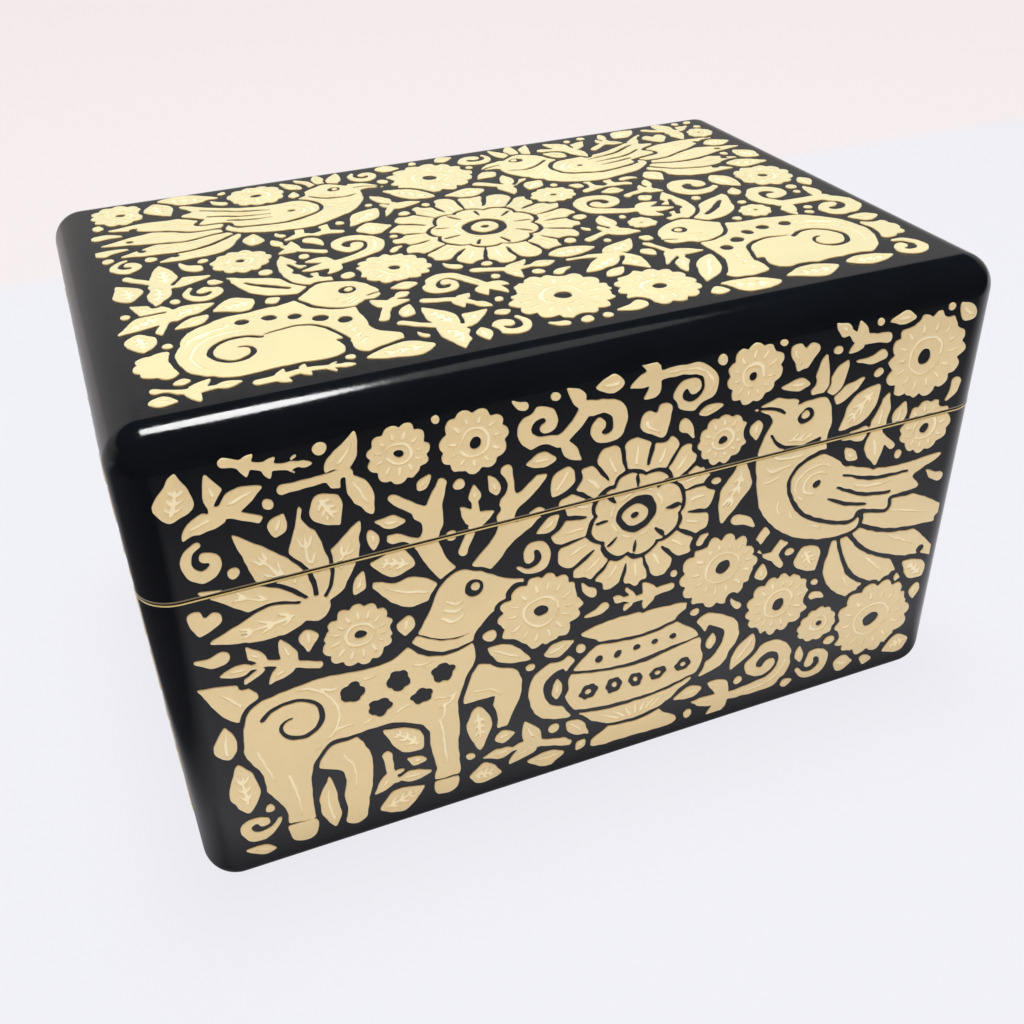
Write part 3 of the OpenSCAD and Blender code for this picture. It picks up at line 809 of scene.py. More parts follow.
def outlines(field, left, low):
    """Closed outlines of where a field is below nought, the inside on the left of each."""
    field = np.pad(field, 1, constant_values=1.0)
    count, across_count = field.size, field.shape[1]
    inside = (field < 0).astype(int)
    case = inside[:-1, :-1] + 2 * inside[:-1, 1:] + 4 * inside[1:, 1:] + 8 * inside[1:, :-1]
    cell = np.arange(count).reshape(field.shape)[:-1, :-1]
    side = {"B": 0, "T": across_count, "L": count, "R": count + 1}
    follow = {}
    for kind, sides in SEGMENTS.items():
        where = cell[case == kind]
        for k in range(0, len(sides), 2):
            follow.update(zip((where + side[sides[k]]).tolist(), (where + side[sides[k + 1]]).tolist()))
    flat = field.ravel()
    loops = []
    while follow:
        start, at = follow.popitem()
        chain = [start]
        while at != start:
            chain.append(at)
            at = follow.pop(at)
        edge = np.array(chain)
        upright = edge >= count
        a = edge - count * upright
        b = a + np.where(upright, across_count, 1)
        t = flat[a] / (flat[a] - flat[b])
        points = np.column_stack([a % across_count + np.where(upright, 0, t) - 1,
                                  a // across_count + np.where(upright, t, 0) - 1])
        x, y = points.T
        if abs(np.dot(x, np.roll(y, -1)) - np.dot(y, np.roll(x, -1))) / 2 * GRID ** 2 > SMALLEST_LOOP:
            loops.append(thinned(points * GRID + (left, low), OUTLINE_TOLERANCE))
    return loops


def thinned(points, tolerance):
    """An outline with the points left out that lie on a straight line between others."""
    ring_points = np.vstack([points, points[:1]])
    keep = np.zeros(len(ring_points), bool)
    half = len(points) // 2
    keep[[0, half]] = True
    spans = [(0, half), (half, len(points))]
    while spans:
        first, last = spans.pop()
        if last - first < 2:
            continue
        a, b = ring_points[first], ring_points[last]
        along = (b - a) / max(np.hypot(*(b - a)), TINY)
        way = ring_points[first + 1:last] - a
        far = np.abs(way[:, 0] * along[1] - way[:, 1] * along[0])
        k = int(far.argmax())
        if far[k] > tolerance:
            keep[first + 1 + k] = True
            spans += [(first, first + 1 + k), (first + 1 + k, last)]
    return points[keep[:-1]]


def raise_outlines(bm, loops, foot, height, shoulder, slot):
    """Fills outlines, raises them from their foot to a height and rounds the upper edge by a shoulder."""
    edges = []
    for loop in loops:
        verts = [bm.verts.new((x, y, foot)) for x, y in loop]
        edges += [bm.edges.new(pair) for pair in zip(verts, verts[1:] + verts[:1])]
    filled = bmesh.ops.triangle_fill(bm, use_beauty=True, edges=edges, normal=(0, 0, 1))["geom"]
    faces = [g for g in filled if isinstance(g, bmesh.types.BMFace)]
    for face in faces:
        face.material_index = slot
    raised = bmesh.ops.extrude_face_region(bm, geom=faces)["geom"]
    top_verts = [g for g in raised if isinstance(g, bmesh.types.BMVert)]
    top = [g for g in raised if isinstance(g, bmesh.types.BMFace)]
    bmesh.ops.translate(bm, verts=top_verts, vec=(0, 0, height - foot - shoulder))
    for inward, upward in SHOULDER_STEPS:
        bmesh.ops.inset_region(bm, faces=top, thickness=inward * shoulder, depth=upward * shoulder,
                               use_boundary=True)


def face_middle(face):
    """Where the middle of a face's drawing lies along its upright way."""
    return 0.0 if face == "top" else HEIGHT / 2


def on_face(face, points, edge):
    """Points of a face's drawing, with their heights, wrapped onto the box and its rounded edges."""
    u, v, h = points.T
    middle = face_middle(face)
    out = h.copy()
    flat = []
    for way, half in zip((u, v - middle), FACES[face][2:4]):
        turn = np.maximum(np.abs(way) - half + edge, 0) / edge
        out += (edge + h) * (np.cos(turn) - 1)
        flat.append(np.sign(way) * (np.minimum(np.abs(way), half - edge) + (edge + h) * np.sin(turn)))
    u, v = flat[0], flat[1] + middle
    return np.column_stack({
        "front": [u, -DEPTH / 2 - out, v],
        "back": [-u, DEPTH / 2 + out, v],
        "left": [-WIDTH / 2 - out, -u, v],
        "right": [WIDTH / 2 + out, u, v],
        "top": [u, v, HEIGHT + out],
    }[face])


def new_piece(name, bm, materials, body, smooth=True):
    """Makes a finished mesh a piece of the scene that moves with a body and takes a finish."""
    mesh = bpy.data.meshes.new(name)
    bmesh.ops.recalc_face_normals(bm, faces=bm.faces)
    for face in bm.faces:
        face.smooth = smooth
    bm.to_mesh(mesh)
    bm.free()
    if not mesh.polygons:
        raise RuntimeError(name + " came out empty")
    piece = bpy.data.objects.new(name, mesh)
    bpy.context.scene.collection.objects.link(piece)
    for material in materials:
        mesh.materials.append(material)
    if body:
        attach(piece, body)
    return piece


def soften(piece):
    """Lets the large faces set the shading, so that flats stay flat beside rounded edges."""
    normals = piece.modifiers.new("Weighted normals", "WEIGHTED_NORMAL")
    normals.mode = "FACE_AREA"
    normals.keep_sharp = True


# Finishes

# Where the lacquered bevel of a back board fades in behind the pins, in millimetres
BEVEL_FADE = 0.1


def add(tree, kind, inputs=None, **settings):
    """Adds a node with its settings, and sets or links its inputs."""
    node = tree.nodes.new("ShaderNode" + kind)
    for key, value in settings.items():
        setattr(node, key, value)
    for key, value in (inputs or {}).items():
        if isinstance(value, bpy.types.NodeSocket):
            tree.links.new(value, node.inputs[key])
        else:
            node.inputs[key].default_value = value
    return node


def new_finish(name, **sockets):
    """A material with its shader, and its Object coordinates in millimetres."""
    material = bpy.data.materials.new(name)
    material.use_nodes = True
    tree = material.node_tree
    shader = tree.nodes["Principled BSDF"]
    for key, value in sockets.items():
        shader.inputs[key.replace("_", " ")].default_value = value
    place = add(tree, "TexCoord").outputs["Object"]
    coordinates = add(tree, "Mapping", {"Vector": place, "Scale": (1 / MM,) * 3}).outputs["Vector"]
    return material, tree, shader, coordinates


def shade(colour, factor):
    """A colour made lighter or darker."""
    return [min(c * factor, 1.0) for c in colour[:3]] + [1.0]


def finish(node, material):
    """Puts a finish on a node of the frame."""
    node.data.materials.clear()
    node.data.materials.append(material)


# Inputs and output of a Mix node that mixes colours, and of one that mixes numbers
MIX_FACTOR, MIX_FIRST, MIX_SECOND, MIX_RESULT = 0, 6, 7, 2
NUMBER_FIRST, NUMBER_SECOND, NUMBER_RESULT = 2, 3, 0


def black_lacquer(colours):
    """Oil lacquer rubbed to a gloss by hand: a deep black with slow waves, faint rubbing marks and fine dust
    in the coat. The dust is drawn coarser than it is, so that it shows."""
    material, tree, shader, place = new_finish("Black_lacquer_hand_rubbed", IOR=1.5, Specular_IOR_Level=0.42)
    cloud = add(tree, "TexNoise", {"Vector": place, "Scale": 1 / 9.0, "Detail": 3.0})
    tint = add(tree, "Mix", {MIX_FACTOR: cloud.outputs["Fac"], MIX_FIRST: shade(colours.black, 0.75),
                             MIX_SECOND: shade(colours.black, 1.5)}, data_type="RGBA")
    tree.links.new(tint.outputs[MIX_RESULT], shader.inputs["Base Color"])
    rubbed = add(tree, "TexNoise", {"Vector": place, "Scale": 1 / 1.8, "Detail": 5.0, "Roughness": 0.6})
    gloss = add(tree, "MapRange", {"Value": rubbed.outputs["Fac"], "From Min": 0.3, "From Max": 0.72,
                                   "To Min": 0.07, "To Max": 0.17})
    tree.links.new(gloss.outputs["Result"], shader.inputs["Roughness"])
    wave = add(tree, "TexNoise", {"Vector": place, "Scale": 1 / 7.0, "Detail": 1.0})
    bump = add(tree, "Bump", {"Height": wave.outputs["Fac"], "Strength": 0.35, "Distance": 0.05 * MM})
    dust = add(tree, "TexNoise", {"Vector": place, "Scale": 1 / 0.5, "Detail": 2.0})
    bump = add(tree, "Bump", {"Height": dust.outputs["Fac"], "Strength": 0.3, "Distance": 0.02 * MM,
                              "Normal": bump.outputs["Normal"]})
    tree.links.new(bump.outputs["Normal"], shader.inputs["Normal"])
    return material


def gold_lacquer(name, colour, roughness):
    """Lacquer filled with ochre and mineral powder: satin and a little cloudy, with a powdery grain. The
    grain is drawn coarser than it is, so that it shows."""
    material, tree, shader, place = new_finish(name, IOR=1.5, Specular_IOR_Level=0.7,
                                               Sheen_Weight=0.6, Sheen_Roughness=0.5)
    cloud = add(tree, "TexNoise", {"Vector": place, "Scale": 1 / 14.0, "Detail": 4.0})
    tint = add(tree, "Mix", {MIX_FACTOR: cloud.outputs["Fac"], MIX_FIRST: shade(colour, 0.9),
                             MIX_SECOND: shade(colour, 1.1)}, data_type="RGBA")
    powder = add(tree, "TexNoise", {"Vector": place, "Scale": 1 / 0.45, "Detail": 2.0})
    grain = add(tree, "MapRange", {"Value": powder.outputs["Fac"], "From Min": 0.62, "From Max": 0.8,
                                   "To Min": 0.0, "To Max": 0.3})
    tint = add(tree, "Mix", {MIX_FACTOR: grain.outputs["Result"], MIX_FIRST: tint.outputs[MIX_RESULT],
                             MIX_SECOND: shade(colour, 0.6)}, data_type="RGBA")
    tree.links.new(tint.outputs[MIX_RESULT], shader.inputs["Base Color"])
    gloss = add(tree, "MapRange", {"Value": cloud.outputs["Fac"], "From Min": 0.3, "From Max": 0.7,
                                   "To Min": roughness - 0.06, "To Max": roughness + 0.06})
    tree.links.new(gloss.outputs["Result"], shader.inputs["Roughness"])
    bump = add(tree, "Bump", {"Height": powder.outputs["Fac"], "Strength": 0.2, "Distance": 0.03 * MM})
    tree.links.new(bump.outputs["Normal"], shader.inputs["Normal"])
    return material


def bare_wood(name, colour, along, black=None):
    """Planed pale wood: straight grain in fine and broad bands, with short dark pores along it. The pores are
    drawn coarser than they are, so that they show. Where a black is given, the bevel behind the pins is
    lacquered."""
    material, tree, shader, place = new_finish(name, IOR=1.5, Specular_IOR_Level=0.3)
    stretch = [1.0, 1.0, 1.0]
    stretch[along] = 0.045
    fibre = add(tree, "Mapping", {"Vector": place, "Scale": stretch}).outputs["Vector"]
    bands = add(tree, "TexNoise", {"Vector": fibre, "Scale": 1 / 5.0, "Detail": 3.0, "Distortion": 0.6})
    fine = add(tree, "TexNoise", {"Vector": fibre, "Scale": 1 / 0.7, "Detail": 4.0})
    pores = add(tree, "TexNoise", {"Vector": fibre, "Scale": 1 / 0.45, "Detail": 1.0})
    tint = add(tree, "Mix", {MIX_FACTOR: bands.outputs["Fac"], MIX_FIRST: shade(colour, 0.66),
                             MIX_SECOND: shade(colour, 1.22)}, data_type="RGBA")
    streak = add(tree, "MapRange", {"Value": fine.outputs["Fac"], "From Min": 0.35, "From Max": 0.7,
                                    "To Min": 0.0, "To Max": 0.35})
    tint = add(tree, "Mix", {MIX_FACTOR: streak.outputs["Result"], MIX_FIRST: tint.outputs[MIX_RESULT],
                             MIX_SECOND: shade(colour, 0.6)}, data_type="RGBA")
    dark = add(tree, "MapRange", {"Value": pores.outputs["Fac"], "From Min": 0.66, "From Max": 0.72,
                                  "To Min": 0.0, "To Max": 0.55})
    tint = add(tree, "Mix", {MIX_FACTOR: dark.outputs["Result"], MIX_FIRST: tint.outputs[MIX_RESULT],
                             MIX_SECOND: shade(colour, 0.3)}, data_type="RGBA")
    gloss = add(tree, "MapRange", {"Value": fine.outputs["Fac"], "From Min": 0.3, "From Max": 0.7,
                                   "To Min": 0.52, "To Max": 0.68})
    if black:
        depth = add(tree, "SeparateXYZ", {"Vector": place}).outputs["Y"]
        behind = add(tree, "MapRange", {"Value": depth, "From Min": PIN[1], "From Max": PIN[1] + BEVEL_FADE})
        tint = add(tree, "Mix", {MIX_FACTOR: behind.outputs["Result"], MIX_FIRST: tint.outputs[MIX_RESULT],
                                 MIX_SECOND: black}, data_type="RGBA")
        gloss = add(tree, "MapRange", {"Value": behind.outputs["Result"], "To Min": 0.6, "To Max": 0.2})
    tree.links.new(tint.outputs[MIX_RESULT], shader.inputs["Base Color"])
    tree.links.new(gloss.outputs["Result"], shader.inputs["Roughness"])
    bump = add(tree, "Bump", {"Height": fine.outputs["Fac"], "Strength": 0.4, "Distance": 0.06 * MM})
    tree.links.new(bump.outputs["Normal"], shader.inputs["Normal"])
    return material


def worn_metal(name, colour, low, high, along):
    """Rolled and rubbed metal: fine marks along one way and a cloudy tarnish that dulls it. The marks are
    drawn coarser than they are, so that they show."""
    material, tree, shader, place = new_finish(name, Metallic=1.0)
    stretch = [1.0, 1.0, 1.0]
    stretch[along] = 0.08
    rolled = add(tree, "Mapping", {"Vector": place, "Scale": stretch}).outputs["Vector"]
    marks = add(tree, "TexNoise", {"Vector": rolled, "Scale": 1 / 0.25, "Detail": 2.0})
    tarnish = add(tree, "TexNoise", {"Vector": place, "Scale": 1 / 3.0, "Detail": 4.0})
    tint = add(tree, "Mix", {MIX_FACTOR: tarnish.outputs["Fac"], MIX_FIRST: shade(colour, 1.12),
                             MIX_SECOND: shade(colour, 0.62)}, data_type="RGBA")
    tree.links.new(tint.outputs[MIX_RESULT], shader.inputs["Base Color"])
    gloss = add(tree, "MapRange", {"Value": tarnish.outputs["Fac"], "From Min": 0.3, "From Max": 0.7,
                                   "To Min": low, "To Max": high})
    tree.links.new(gloss.outputs["Result"], shader.inputs["Roughness"])
    bump = add(tree, "Bump", {"Height": marks.outputs["Fac"], "Strength": 0.3, "Distance": 0.02 * MM})
    tree.links.new(bump.outputs["Normal"], shader.inputs["Normal"])
    return material


def floor_sheet(colours):
    """Matt white sheet, cool near the box and warmer where another floor begins behind it. Most of what the
    camera sees of it is its own even white, and the rest keeps the box's shadow. Mirrored in the lacquer it
    is darkened with painted shade towards the viewer and the near left, and with a painted shadow at the foot
    of the box."""
    material, tree, shader, place = new_finish("White_sheet", Roughness=0.85, Specular_IOR_Level=0.1)
    way = add(tree, "SeparateXYZ", {"Vector": place}).outputs
    behind = add(tree, "MapRange", {"Value": way["Y"], "From Min": SHEET_END, "From Max": FAR_FLOOR_START})
    tint = add(tree, "Mix", {MIX_FACTOR: behind.outputs["Result"], MIX_FIRST: colours.floor[:],
                             MIX_SECOND: colours.far_floor[:]}, data_type="RGBA")
    tree.links.new(tint.outputs[MIX_RESULT], shader.inputs["Base Color"])
    path = add(tree, "LightPath").outputs
    # Painted shade in the mirrored floor: darker towards the viewer and the near left
    near = add(tree, "MapRange", {"Value": way["Y"], "From Min": NEAR_PLACES[0], "From Max": NEAR_PLACES[1],
                                  "To Min": NEAR_LIGHT[0], "To Max": NEAR_LIGHT[1]})
    left = add(tree, "MapRange", {"Value": way["Y"], "From Min": LEFT_DEPTHS[0], "From Max": LEFT_DEPTHS[1],
                                  "To Min": LEFT_LIGHT[0], "To Max": LEFT_LIGHT[1]})
    beside = add(tree, "MapRange", {"Value": way["X"], "From Min": LEFT_PLACES[0], "From Max": LEFT_PLACES[1],
                                    "To Min": left.outputs["Result"]})
    painted_shade = add(tree, "Math", {0: near.outputs["Result"], 1: beside.outputs["Result"]}, operation="MULTIPLY")
    # Painted shadow at the foot of the box, in the mirrored floor only
    outside = []
    for axis, half in (("X", WIDTH / 2), ("Y", DEPTH / 2)):
        away = add(tree, "Math", {0: way[axis]}, operation="ABSOLUTE")
        past = add(tree, "Math", {0: away.outputs["Value"], 1: half}, operation="SUBTRACT")
        outside.append(past.outputs["Value"])
    foot = add(tree, "Math", {0: outside[0], 1: outside[1]}, operation="MAXIMUM")
    clear = add(tree, "MapRange", {"Value": foot.outputs["Value"], "From Min": FOOT_PLACES[0],
                                   "From Max": FOOT_PLACES[1], "To Min": FOOT_SHADOW_LIGHT})
    painted_shade = add(tree, "Math", {0: painted_shade.outputs["Value"], 1: clear.outputs["Result"]}, operation="MULTIPLY")
    strength = add(tree, "Mix", {MIX_FACTOR: path["Is Glossy Ray"], NUMBER_FIRST: 1.0,
                                 NUMBER_SECOND: painted_shade.outputs["Value"]}, data_type="FLOAT")
    even = add(tree, "Emission", {"Color": tint.outputs[MIX_RESULT],
                                  "Strength": strength.outputs[NUMBER_RESULT]})
    seen = add(tree, "Math", {0: path["Is Camera Ray"], 1: path["Is Transmission Ray"]}, operation="MAXIMUM")
    share = add(tree, "Math", {0: seen.outputs["Value"], 1: EVEN_SHARE}, operation="MULTIPLY")
    share = add(tree, "Math", {0: share.outputs["Value"], 1: path["Is Glossy Ray"]}, operation="MAXIMUM")
    mixed = add(tree, "MixShader", {0: share.outputs["Value"], 1: shader.outputs["BSDF"],
                                    2: even.outputs["Emission"]})
    tree.links.new(mixed.outputs["Shader"], tree.nodes["Material Output"].inputs["Surface"])
    return material


# Bodies of the box

# In millimetres: room at the meeting bevels, where the rim lines end before the pins, black past the bevels
BEVEL_SPARE = 0.15
RIM_LINE_END = 1.0
STRIP_SPARE = 0.3
SHARP_ANGLE = math.radians(35)

# In millimetres: how near to a cut counts as on it, and below which height a face is the underside
CUT_CLOSE, UNDERSIDE = 1e-5, 1e-4


def rounded_box(spare, edge, steps):
    """The box's outer form, as a closed mesh in millimetres, larger by a spare on each side."""
    bm = bmesh.new()
    bmesh.ops.create_cube(bm, size=1.0)
    bmesh.ops.scale(bm, verts=bm.verts, vec=(WIDTH + 2 * spare, DEPTH + 2 * spare, HEIGHT + 2 * spare))
    bmesh.ops.translate(bm, verts=bm.verts, vec=(0, 0, HEIGHT / 2))
    bmesh.ops.bevel(bm, geom=bm.edges[:], offset=edge + spare, offset_type="OFFSET", affect="EDGES",
                    segments=steps, profile=0.5, material=-1)
    return bm


def slice_off(bm, point, way, fill=False):
    """Takes away what lies beyond a plane, and closes the cut where asked."""
    cut = bmesh.ops.bisect_plane(bm, geom=bm.verts[:] + bm.edges[:] + bm.faces[:], dist=CUT_CLOSE,
                                 plane_co=point, plane_no=way, clear_outer=True)["geom_cut"]
    if fill:
        bmesh.ops.edgeloop_fill(bm, edges=[g for g in cut if isinstance(g, bmesh.types.BMEdge)])


def to_metres(bm):
    """Turns a mesh drawn in millimetres to metres."""
    bmesh.ops.scale(bm, verts=bm.verts, vec=(MM, MM, MM))


class BOX_OT_lacquer(bpy.types.Operator):
    """Lay the black coats over the body and the lid"""
    bl_idname = "keepsake.lacquer"
    bl_label = "Black lacquer coats"

    def execute(self, context):
        sizes = context.scene.box_sizes
        coat = black_lacquer(context.scene.box_colours)
        lean = math.radians(LID_STOP / 2)
        for part, body, rim, way in (("body", "base", BODY_RIM, 1), ("lid", "lid", LID_RIM, -1)):
            bm = rounded_box(0.0, sizes.edge / MM, sizes.edge_steps)
            if part == "body":
                flat = [f for f in bm.faces if f.calc_center_median().z < UNDERSIDE]
                bmesh.ops.delete(bm, geom=flat, context="FACES")
            slice_off(bm, (0, 0, rim), (0, 0, way))
            bmesh.ops.solidify(bm, geom=bm.faces[:], thickness=COAT)
            bevel = (0, math.sin(lean), way * math.cos(lean))
            slice_off(bm, (0, PIN[1], rim - BEVEL_SPARE * way), bevel, fill=True)
            to_metres(bm)
            piece = new_piece(part + "_black_coat", bm, [coat], body)
            piece.data.set_sharp_from_angle(angle=SHARP_ANGLE)
            soften(piece)
            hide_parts(part + "_lacquer_coat")
        return {"FINISHED"}


class BOX_OT_rim_lines(bpy.types.Operator):
    """Draw the thin worn lines along the rims of body and lid, the lid's darker with painted shade"""
    bl_idname = "keepsake.rim_lines"
    bl_label = "Rim lines"

    def execute(self, context):
        sizes = context.scene.box_sizes
        colours = context.scene.box_colours
        tall = sizes.rim_line / MM
        # The lid's line takes the darker colour, painted shade under the lid's edge
        rims = (("body", "base", BODY_RIM - tall, BODY_RIM, colours.body_rim),
                ("lid", "lid", LID_RIM, LID_RIM + tall, colours.lid_rim_shaded))
        for part, body, low, high, colour in rims:
            gold = gold_lacquer("Gold_rim_of_" + part, colour[:], 0.4)
            bm = rounded_box(sizes.rim_proud / MM, sizes.edge / MM, sizes.edge_steps)
            slice_off(bm, (0, 0, high), (0, 0, 1))
            slice_off(bm, (0, 0, low), (0, 0, -1))
            slice_off(bm, (0, PIN[1] - RIM_LINE_END, 0), (0, 1, 0))
            bmesh.ops.solidify(bm, geom=bm.faces[:], thickness=COAT / 2)
            to_metres(bm)
            piece = new_piece(part + "_rim_line", bm, [gold], body)
            piece.data.set_sharp_from_angle(angle=SHARP_ANGLE)
        return {"FINISHED"}


class BOX_OT_ornament(bpy.types.Operator):
    """Raise the gold ornament on one face, with its scribed lines"""
    bl_idname = "keepsake.ornament"
    bl_label = "Gold ornament"

    face: bpy.props.EnumProperty(name="Face", description="The face that gets its ornament",
                                 items=[(name, name.title(), "The " + name) for name in FACES])

    def execute(self, context):
        sizes = context.scene.box_sizes
        colours = context.scene.box_colours
        layout, seed, half_u, half_v, (side, below, above) = FACES[self.face]
        middle = face_middle(self.face)
        box = (side - half_u, half_u - side, middle - half_v + below, middle + half_v - above)
        drawing = Drawing(*box, seed)
        layout(drawing)
        fill_gaps(drawing)
        gold, line = drawing.fields()
        # The scribed floor's paler gold is a painted highlight for the light caught in the grooves
        finishes = [bpy.data.materials.get(name) or gold_lacquer(name, colour[:], roughness)
                    for name, colour, roughness in (("Gold_lacquer_satin", colours.gold, 0.42),
                                                    ("Gold_lacquer_scribed_highlight", colours.pale_gold_highlight, 0.5))]
        strip = sizes.rim_line / MM
        if self.face == "back":
            strip = (DEPTH / 2 - PIN[1]) * math.tan(math.radians(LID_STOP / 2)) + STRIP_SPARE
        parts = [("lid", "lid", LID_RIM + strip - drawing.grid_v)]
        parts += [("body", "base", drawing.grid_v - BODY_RIM + strip)]
        if self.face == "top":
            parts = [("lid", "lid", np.full(gold.shape, -1.0))]
        for part, body, beyond in parts:
            kept = np.maximum(gold, beyond)
            shapes = outlines(np.maximum(kept, -line), box[0], box[2])
            grooves = outlines(np.maximum(kept + GROOVE_INSET, line - GROOVE_REACH), box[0], box[2])
            bm = bmesh.new()
            raise_outlines(bm, shapes, -sizes.sunk / MM, sizes.relief / MM, GOLD_SHOULDER, 0)
            raise_outlines(bm, grooves, -sizes.sunk / MM, sizes.scribe / MM, LINE_SHOULDER, 1)
            piece = new_piece(self.face + "_gold_on_" + part, bm, finishes, body)
            points = np.empty(3 * len(piece.data.vertices))
            piece.data.vertices.foreach_get("co", points)
            placed = on_face(self.face, points.reshape(-1, 3), sizes.edge / MM) * MM
            piece.data.vertices.foreach_set("co", placed.ravel())
            piece.data.update()
            soften(piece)
        return {"FINISHED"}


class BOX_OT_boards(bpy.types.Operator):
    """Give the boards their bare wood, with the grain along each board"""
    bl_idname = "keepsake.boards"
    bl_label = "Bare boards"

    def execute(self, context):
        colours = context.scene.box_colours
        colour = colours.wood[:]
        long_way = bare_wood("Planed_pale_wood_long", colour, 0)
        short_way = bare_wood("Planed_pale_wood_short", shade(colour, 0.95), 1)
        bevelled = bare_wood("Planed_pale_wood_lacquered_bevel", colour, 0, colours.black[:])
        woods = {"left": short_way, "right": short_way, "back": bevelled}
        for name, node in frame["nodes"].items():
            if name.endswith("_panel"):
                finish(node, woods.get(name.split("_")[1], long_way))
        return {"FINISHED"}


class BOX_OT_hardware(bpy.types.Operator):
    """Give the hinges, screws and brads their metals"""
    bl_idname = "keepsake.hardware"
    bl_label = "Hinges, screws and brads"

    def execute(self, context):
        colours = context.scene.box_colours
        brass = worn_metal("Hinge_brass_aged", colours.brass[:], 0.24, 0.42, 0)
        steel = worn_metal("Brad_steel_dull", colours.steel[:], 0.38, 0.55, 2)
        for name, node in frame["nodes"].items():
            if "hinge" in name or "screws" in name:
                finish(node, brass)
            if "brads" in name:
                finish(node, steel)
        return {"FINISHED"}


# Camera: lens and sensor in millimetres, place in metres, found from the photograph's straight edges
LENS, SENSOR = 40.87, 36.0
EYE = (-0.07114, -0.19474, 0.16695)
RIGHT = (0.92746, -0.3727, -0.03032)
UP = (0.23125, 0.50795, 0.82976)
AWAY = (-0.29385, -0.77658, 0.55729)

# How near the camera sees, in metres
NEAREST = 0.01

# Floor: half its side in metres, ends of the sheet and the far floor in millimetres, share of even white
FLOOR_HALF = 4.0
SHEET_END, FAR_FLOOR_START = 251.0, 263.0
EVEN_SHARE = 0.93

# The floor in the lacquer's mirror, darkened with painted shade: places in millimetres, and its light from
# the first to the second
NEAR_PLACES, NEAR_LIGHT = (-212.0, -67.0), (0.05, 1.05)
LEFT_PLACES, LEFT_DEPTHS, LEFT_LIGHT = (-111.0, -76.0), (20.0, 100.0), (0.1, 0.6)
FOOT_PLACES, FOOT_SHADOW_LIGHT = (0.0, 14.0), 0.12

# Sky: its colour, its light on the box and in the picture, and the pale screen in the lacquer's mirror
SKY_COLOUR = "#F6F2EE"
ROOM_LIGHT, PALE_SKY = 0.65, 0.92
SCREEN_LIGHT, SCREEN_DARK = 0.46, 0.02
SCREEN_TOP, SCREEN_FADE, SCREEN_BACK = 0.5, 0.04, (-0.1, 0.35)

# Lamps in metres and watts: name, place, target, width, depth, power, whether the lacquer mirrors it, colour
LAMPS = (
    ("Overhead_lamp", (0.0, 0.055, 0.72), (0.0, 0.055, 0.0), 0.18, 0.26, 2.9, True, (1.0, 1.0, 1.0)),
    ("Cool_fill", (0.0, 0.055, 0.72), (0.0, 0.055, 0.0), 0.18, 0.26, 2.0, False, (0.15, 0.85, 1.0)),
    ("Ceiling_glow", (0.22, 0.06, 0.74), (0.22, 0.06, 0.0), 0.32, 0.32, 0.22, True, (1.0, 1.0, 1.0)),
    ("Front_lamp", (-0.45, -1.1, 0.8), (0.0, 0.0, 0.04), 1.1, 1.1, 5.7, False, (1.0, 0.9, 0.8)),
)


def soft_room():
    """A pale room that lights the box evenly. What the lacquer mirrors of it is dark, but for a low pale
    screen behind the box."""
    world = bpy.data.worlds.new("Soft_room")
    world.use_nodes = True
    tree = world.node_tree
    sky = tree.nodes["Background"]
    sky.inputs["Color"].default_value = linear(SKY_COLOUR)
    way = add(tree, "SeparateXYZ", {"Vector": add(tree, "TexCoord").outputs["Generated"]}).outputs
    low = add(tree, "MapRange", {"Value": way["Z"], "From Min": SCREEN_TOP,
                                 "From Max": SCREEN_TOP - SCREEN_FADE})
    behind = add(tree, "MapRange", {"Value": way["Y"], "From Min": SCREEN_BACK[0],
                                    "From Max": SCREEN_BACK[1]})
    screen = add(tree, "Math", {0: low.outputs["Result"], 1: behind.outputs["Result"]}, operation="MULTIPLY")
    mirrored = add(tree, "MapRange", {"Value": screen.outputs["Value"], "To Min": SCREEN_DARK,
                                      "To Max": SCREEN_LIGHT})
    path = add(tree, "LightPath").outputs
    seen = add(tree, "Math", {0: path["Is Camera Ray"], 1: path["Is Transmission Ray"]}, operation="MAXIMUM")
    bright = add(tree, "MapRange", {"Value": seen.outputs["Value"], "To Min": ROOM_LIGHT, "To Max": PALE_SKY})
    bright = add(tree, "Mix", {MIX_FACTOR: path["Is Glossy Ray"], NUMBER_FIRST: bright.outputs["Result"],
                               NUMBER_SECOND: mirrored.outputs["Result"]}, data_type="FLOAT")
    tree.links.new(bright.outputs[NUMBER_RESULT], sky.inputs["Strength"])
    return world


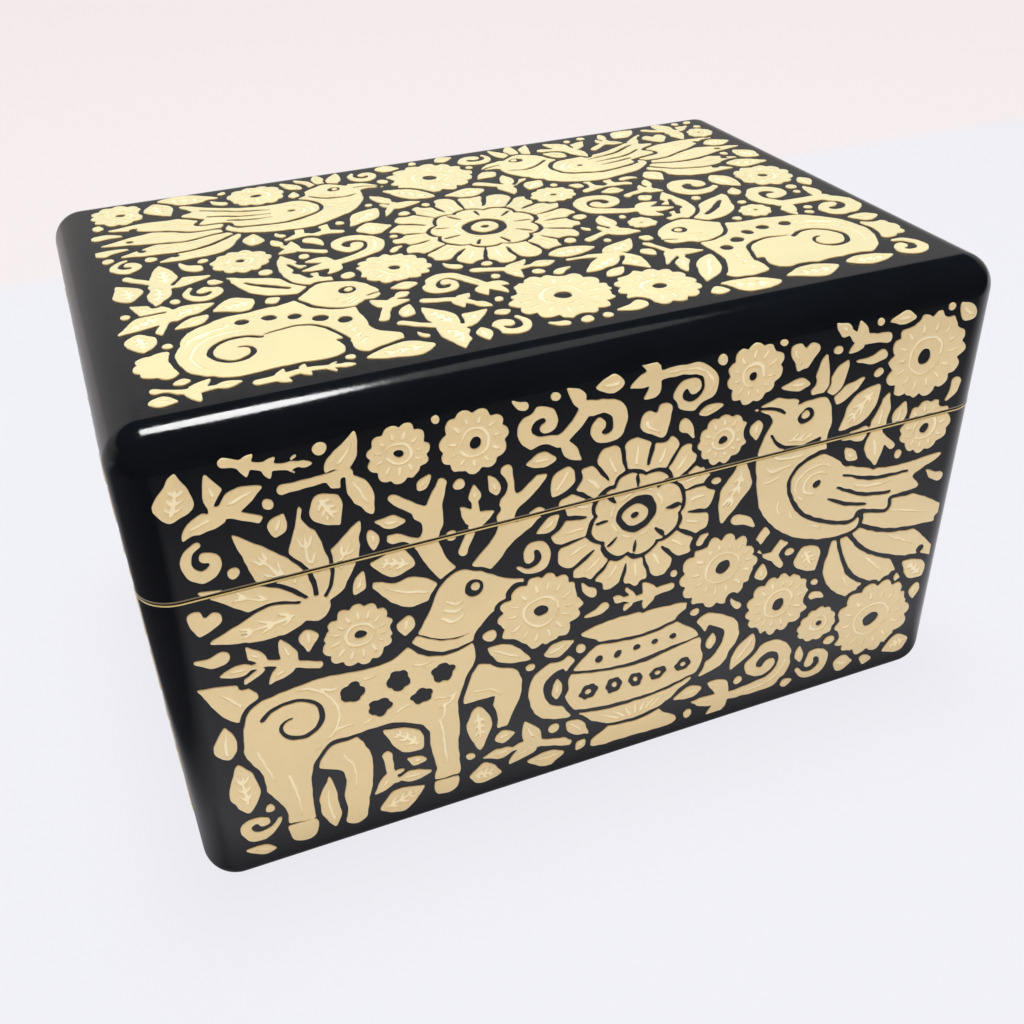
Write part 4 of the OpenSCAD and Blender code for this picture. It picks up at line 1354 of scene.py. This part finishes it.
class BOX_OT_stage(bpy.types.Operator):
    """Set the floor, the lamps, the sky and the camera"""
    bl_idname = "keepsake.stage"
    bl_label = "Stage"

    def execute(self, context):
        scene = context.scene
        bm = bmesh.new()
        bmesh.ops.create_grid(bm, x_segments=1, y_segments=1, size=FLOOR_HALF)
        new_piece("Floor", bm, [floor_sheet(scene.box_colours)], None, False)
        for name, place, target, wide, deep, power, mirrored, colour in LAMPS:
            lamp = bpy.data.lights.new(name, "AREA")
            lamp.shape = "ELLIPSE"
            lamp.size, lamp.size_y, lamp.energy = wide, deep, power
            lamp.color = colour
            holder = bpy.data.objects.new(name, lamp)
            holder.location = place
            holder.visible_glossy = mirrored
            holder.rotation_euler = (Vector(target) - Vector(place)).to_track_quat("-Z", "Y").to_euler()
            scene.collection.objects.link(holder)
        scene.world = soft_room()
        lens = bpy.data.cameras.new("Camera")
        lens.lens = LENS
        lens.sensor_width = SENSOR
        lens.clip_start = NEAREST
        camera = bpy.data.objects.new("Camera", lens)
        turn = Matrix((RIGHT, UP, AWAY)).transposed().to_4x4()
        camera.matrix_world = Matrix.Translation(EYE) @ turn
        scene.collection.objects.link(camera)
        scene.camera = camera
        scene.view_settings.view_transform = "Standard"
        return {"FINISHED"}


class BOX_PT_keepsake(bpy.types.Panel):
    """Sizes, colours and steps of the box"""
    bl_idname = "BOX_PT_keepsake"
    bl_label = "Keepsake box"
    bl_space_type = "VIEW_3D"
    bl_region_type = "UI"
    bl_category = "Box"

    def draw(self, context):
        for group in (context.scene.box_sizes, context.scene.box_colours):
            column = self.layout.column(align=True)
            for name in group.__annotations__:
                column.prop(group, name)
        column = self.layout.column(align=True)
        for step in ("lacquer", "rim_lines", "boards", "hardware", "stage"):
            column.operator("keepsake." + step)
        for name in FACES:
            column.operator("keepsake.ornament", text="Gold ornament, " + name).face = name


CLASSES = (BoxSizes, BoxColours, BOX_OT_lacquer, BOX_OT_rim_lines, BOX_OT_ornament, BOX_OT_boards,
           BOX_OT_hardware, BOX_OT_stage, BOX_PT_keepsake)


def register():
    for kind in CLASSES:
        bpy.utils.register_class(kind)
    bpy.types.Scene.box_sizes = bpy.props.PointerProperty(type=BoxSizes)
    bpy.types.Scene.box_colours = bpy.props.PointerProperty(type=BoxColours)


def unregister():
    del bpy.types.Scene.box_colours
    del bpy.types.Scene.box_sizes
    for kind in reversed(CLASSES):
        bpy.utils.unregister_class(kind)


def main():
    register()
    bpy.ops.keepsake.lacquer()
    bpy.ops.keepsake.rim_lines()
    for name in FACES:
        bpy.ops.keepsake.ornament(face=name)
    bpy.ops.keepsake.boards()
    bpy.ops.keepsake.hardware()
    bpy.ops.keepsake.stage()
    bpy.context.view_layer.update()


if __name__ == "__main__":
    main()
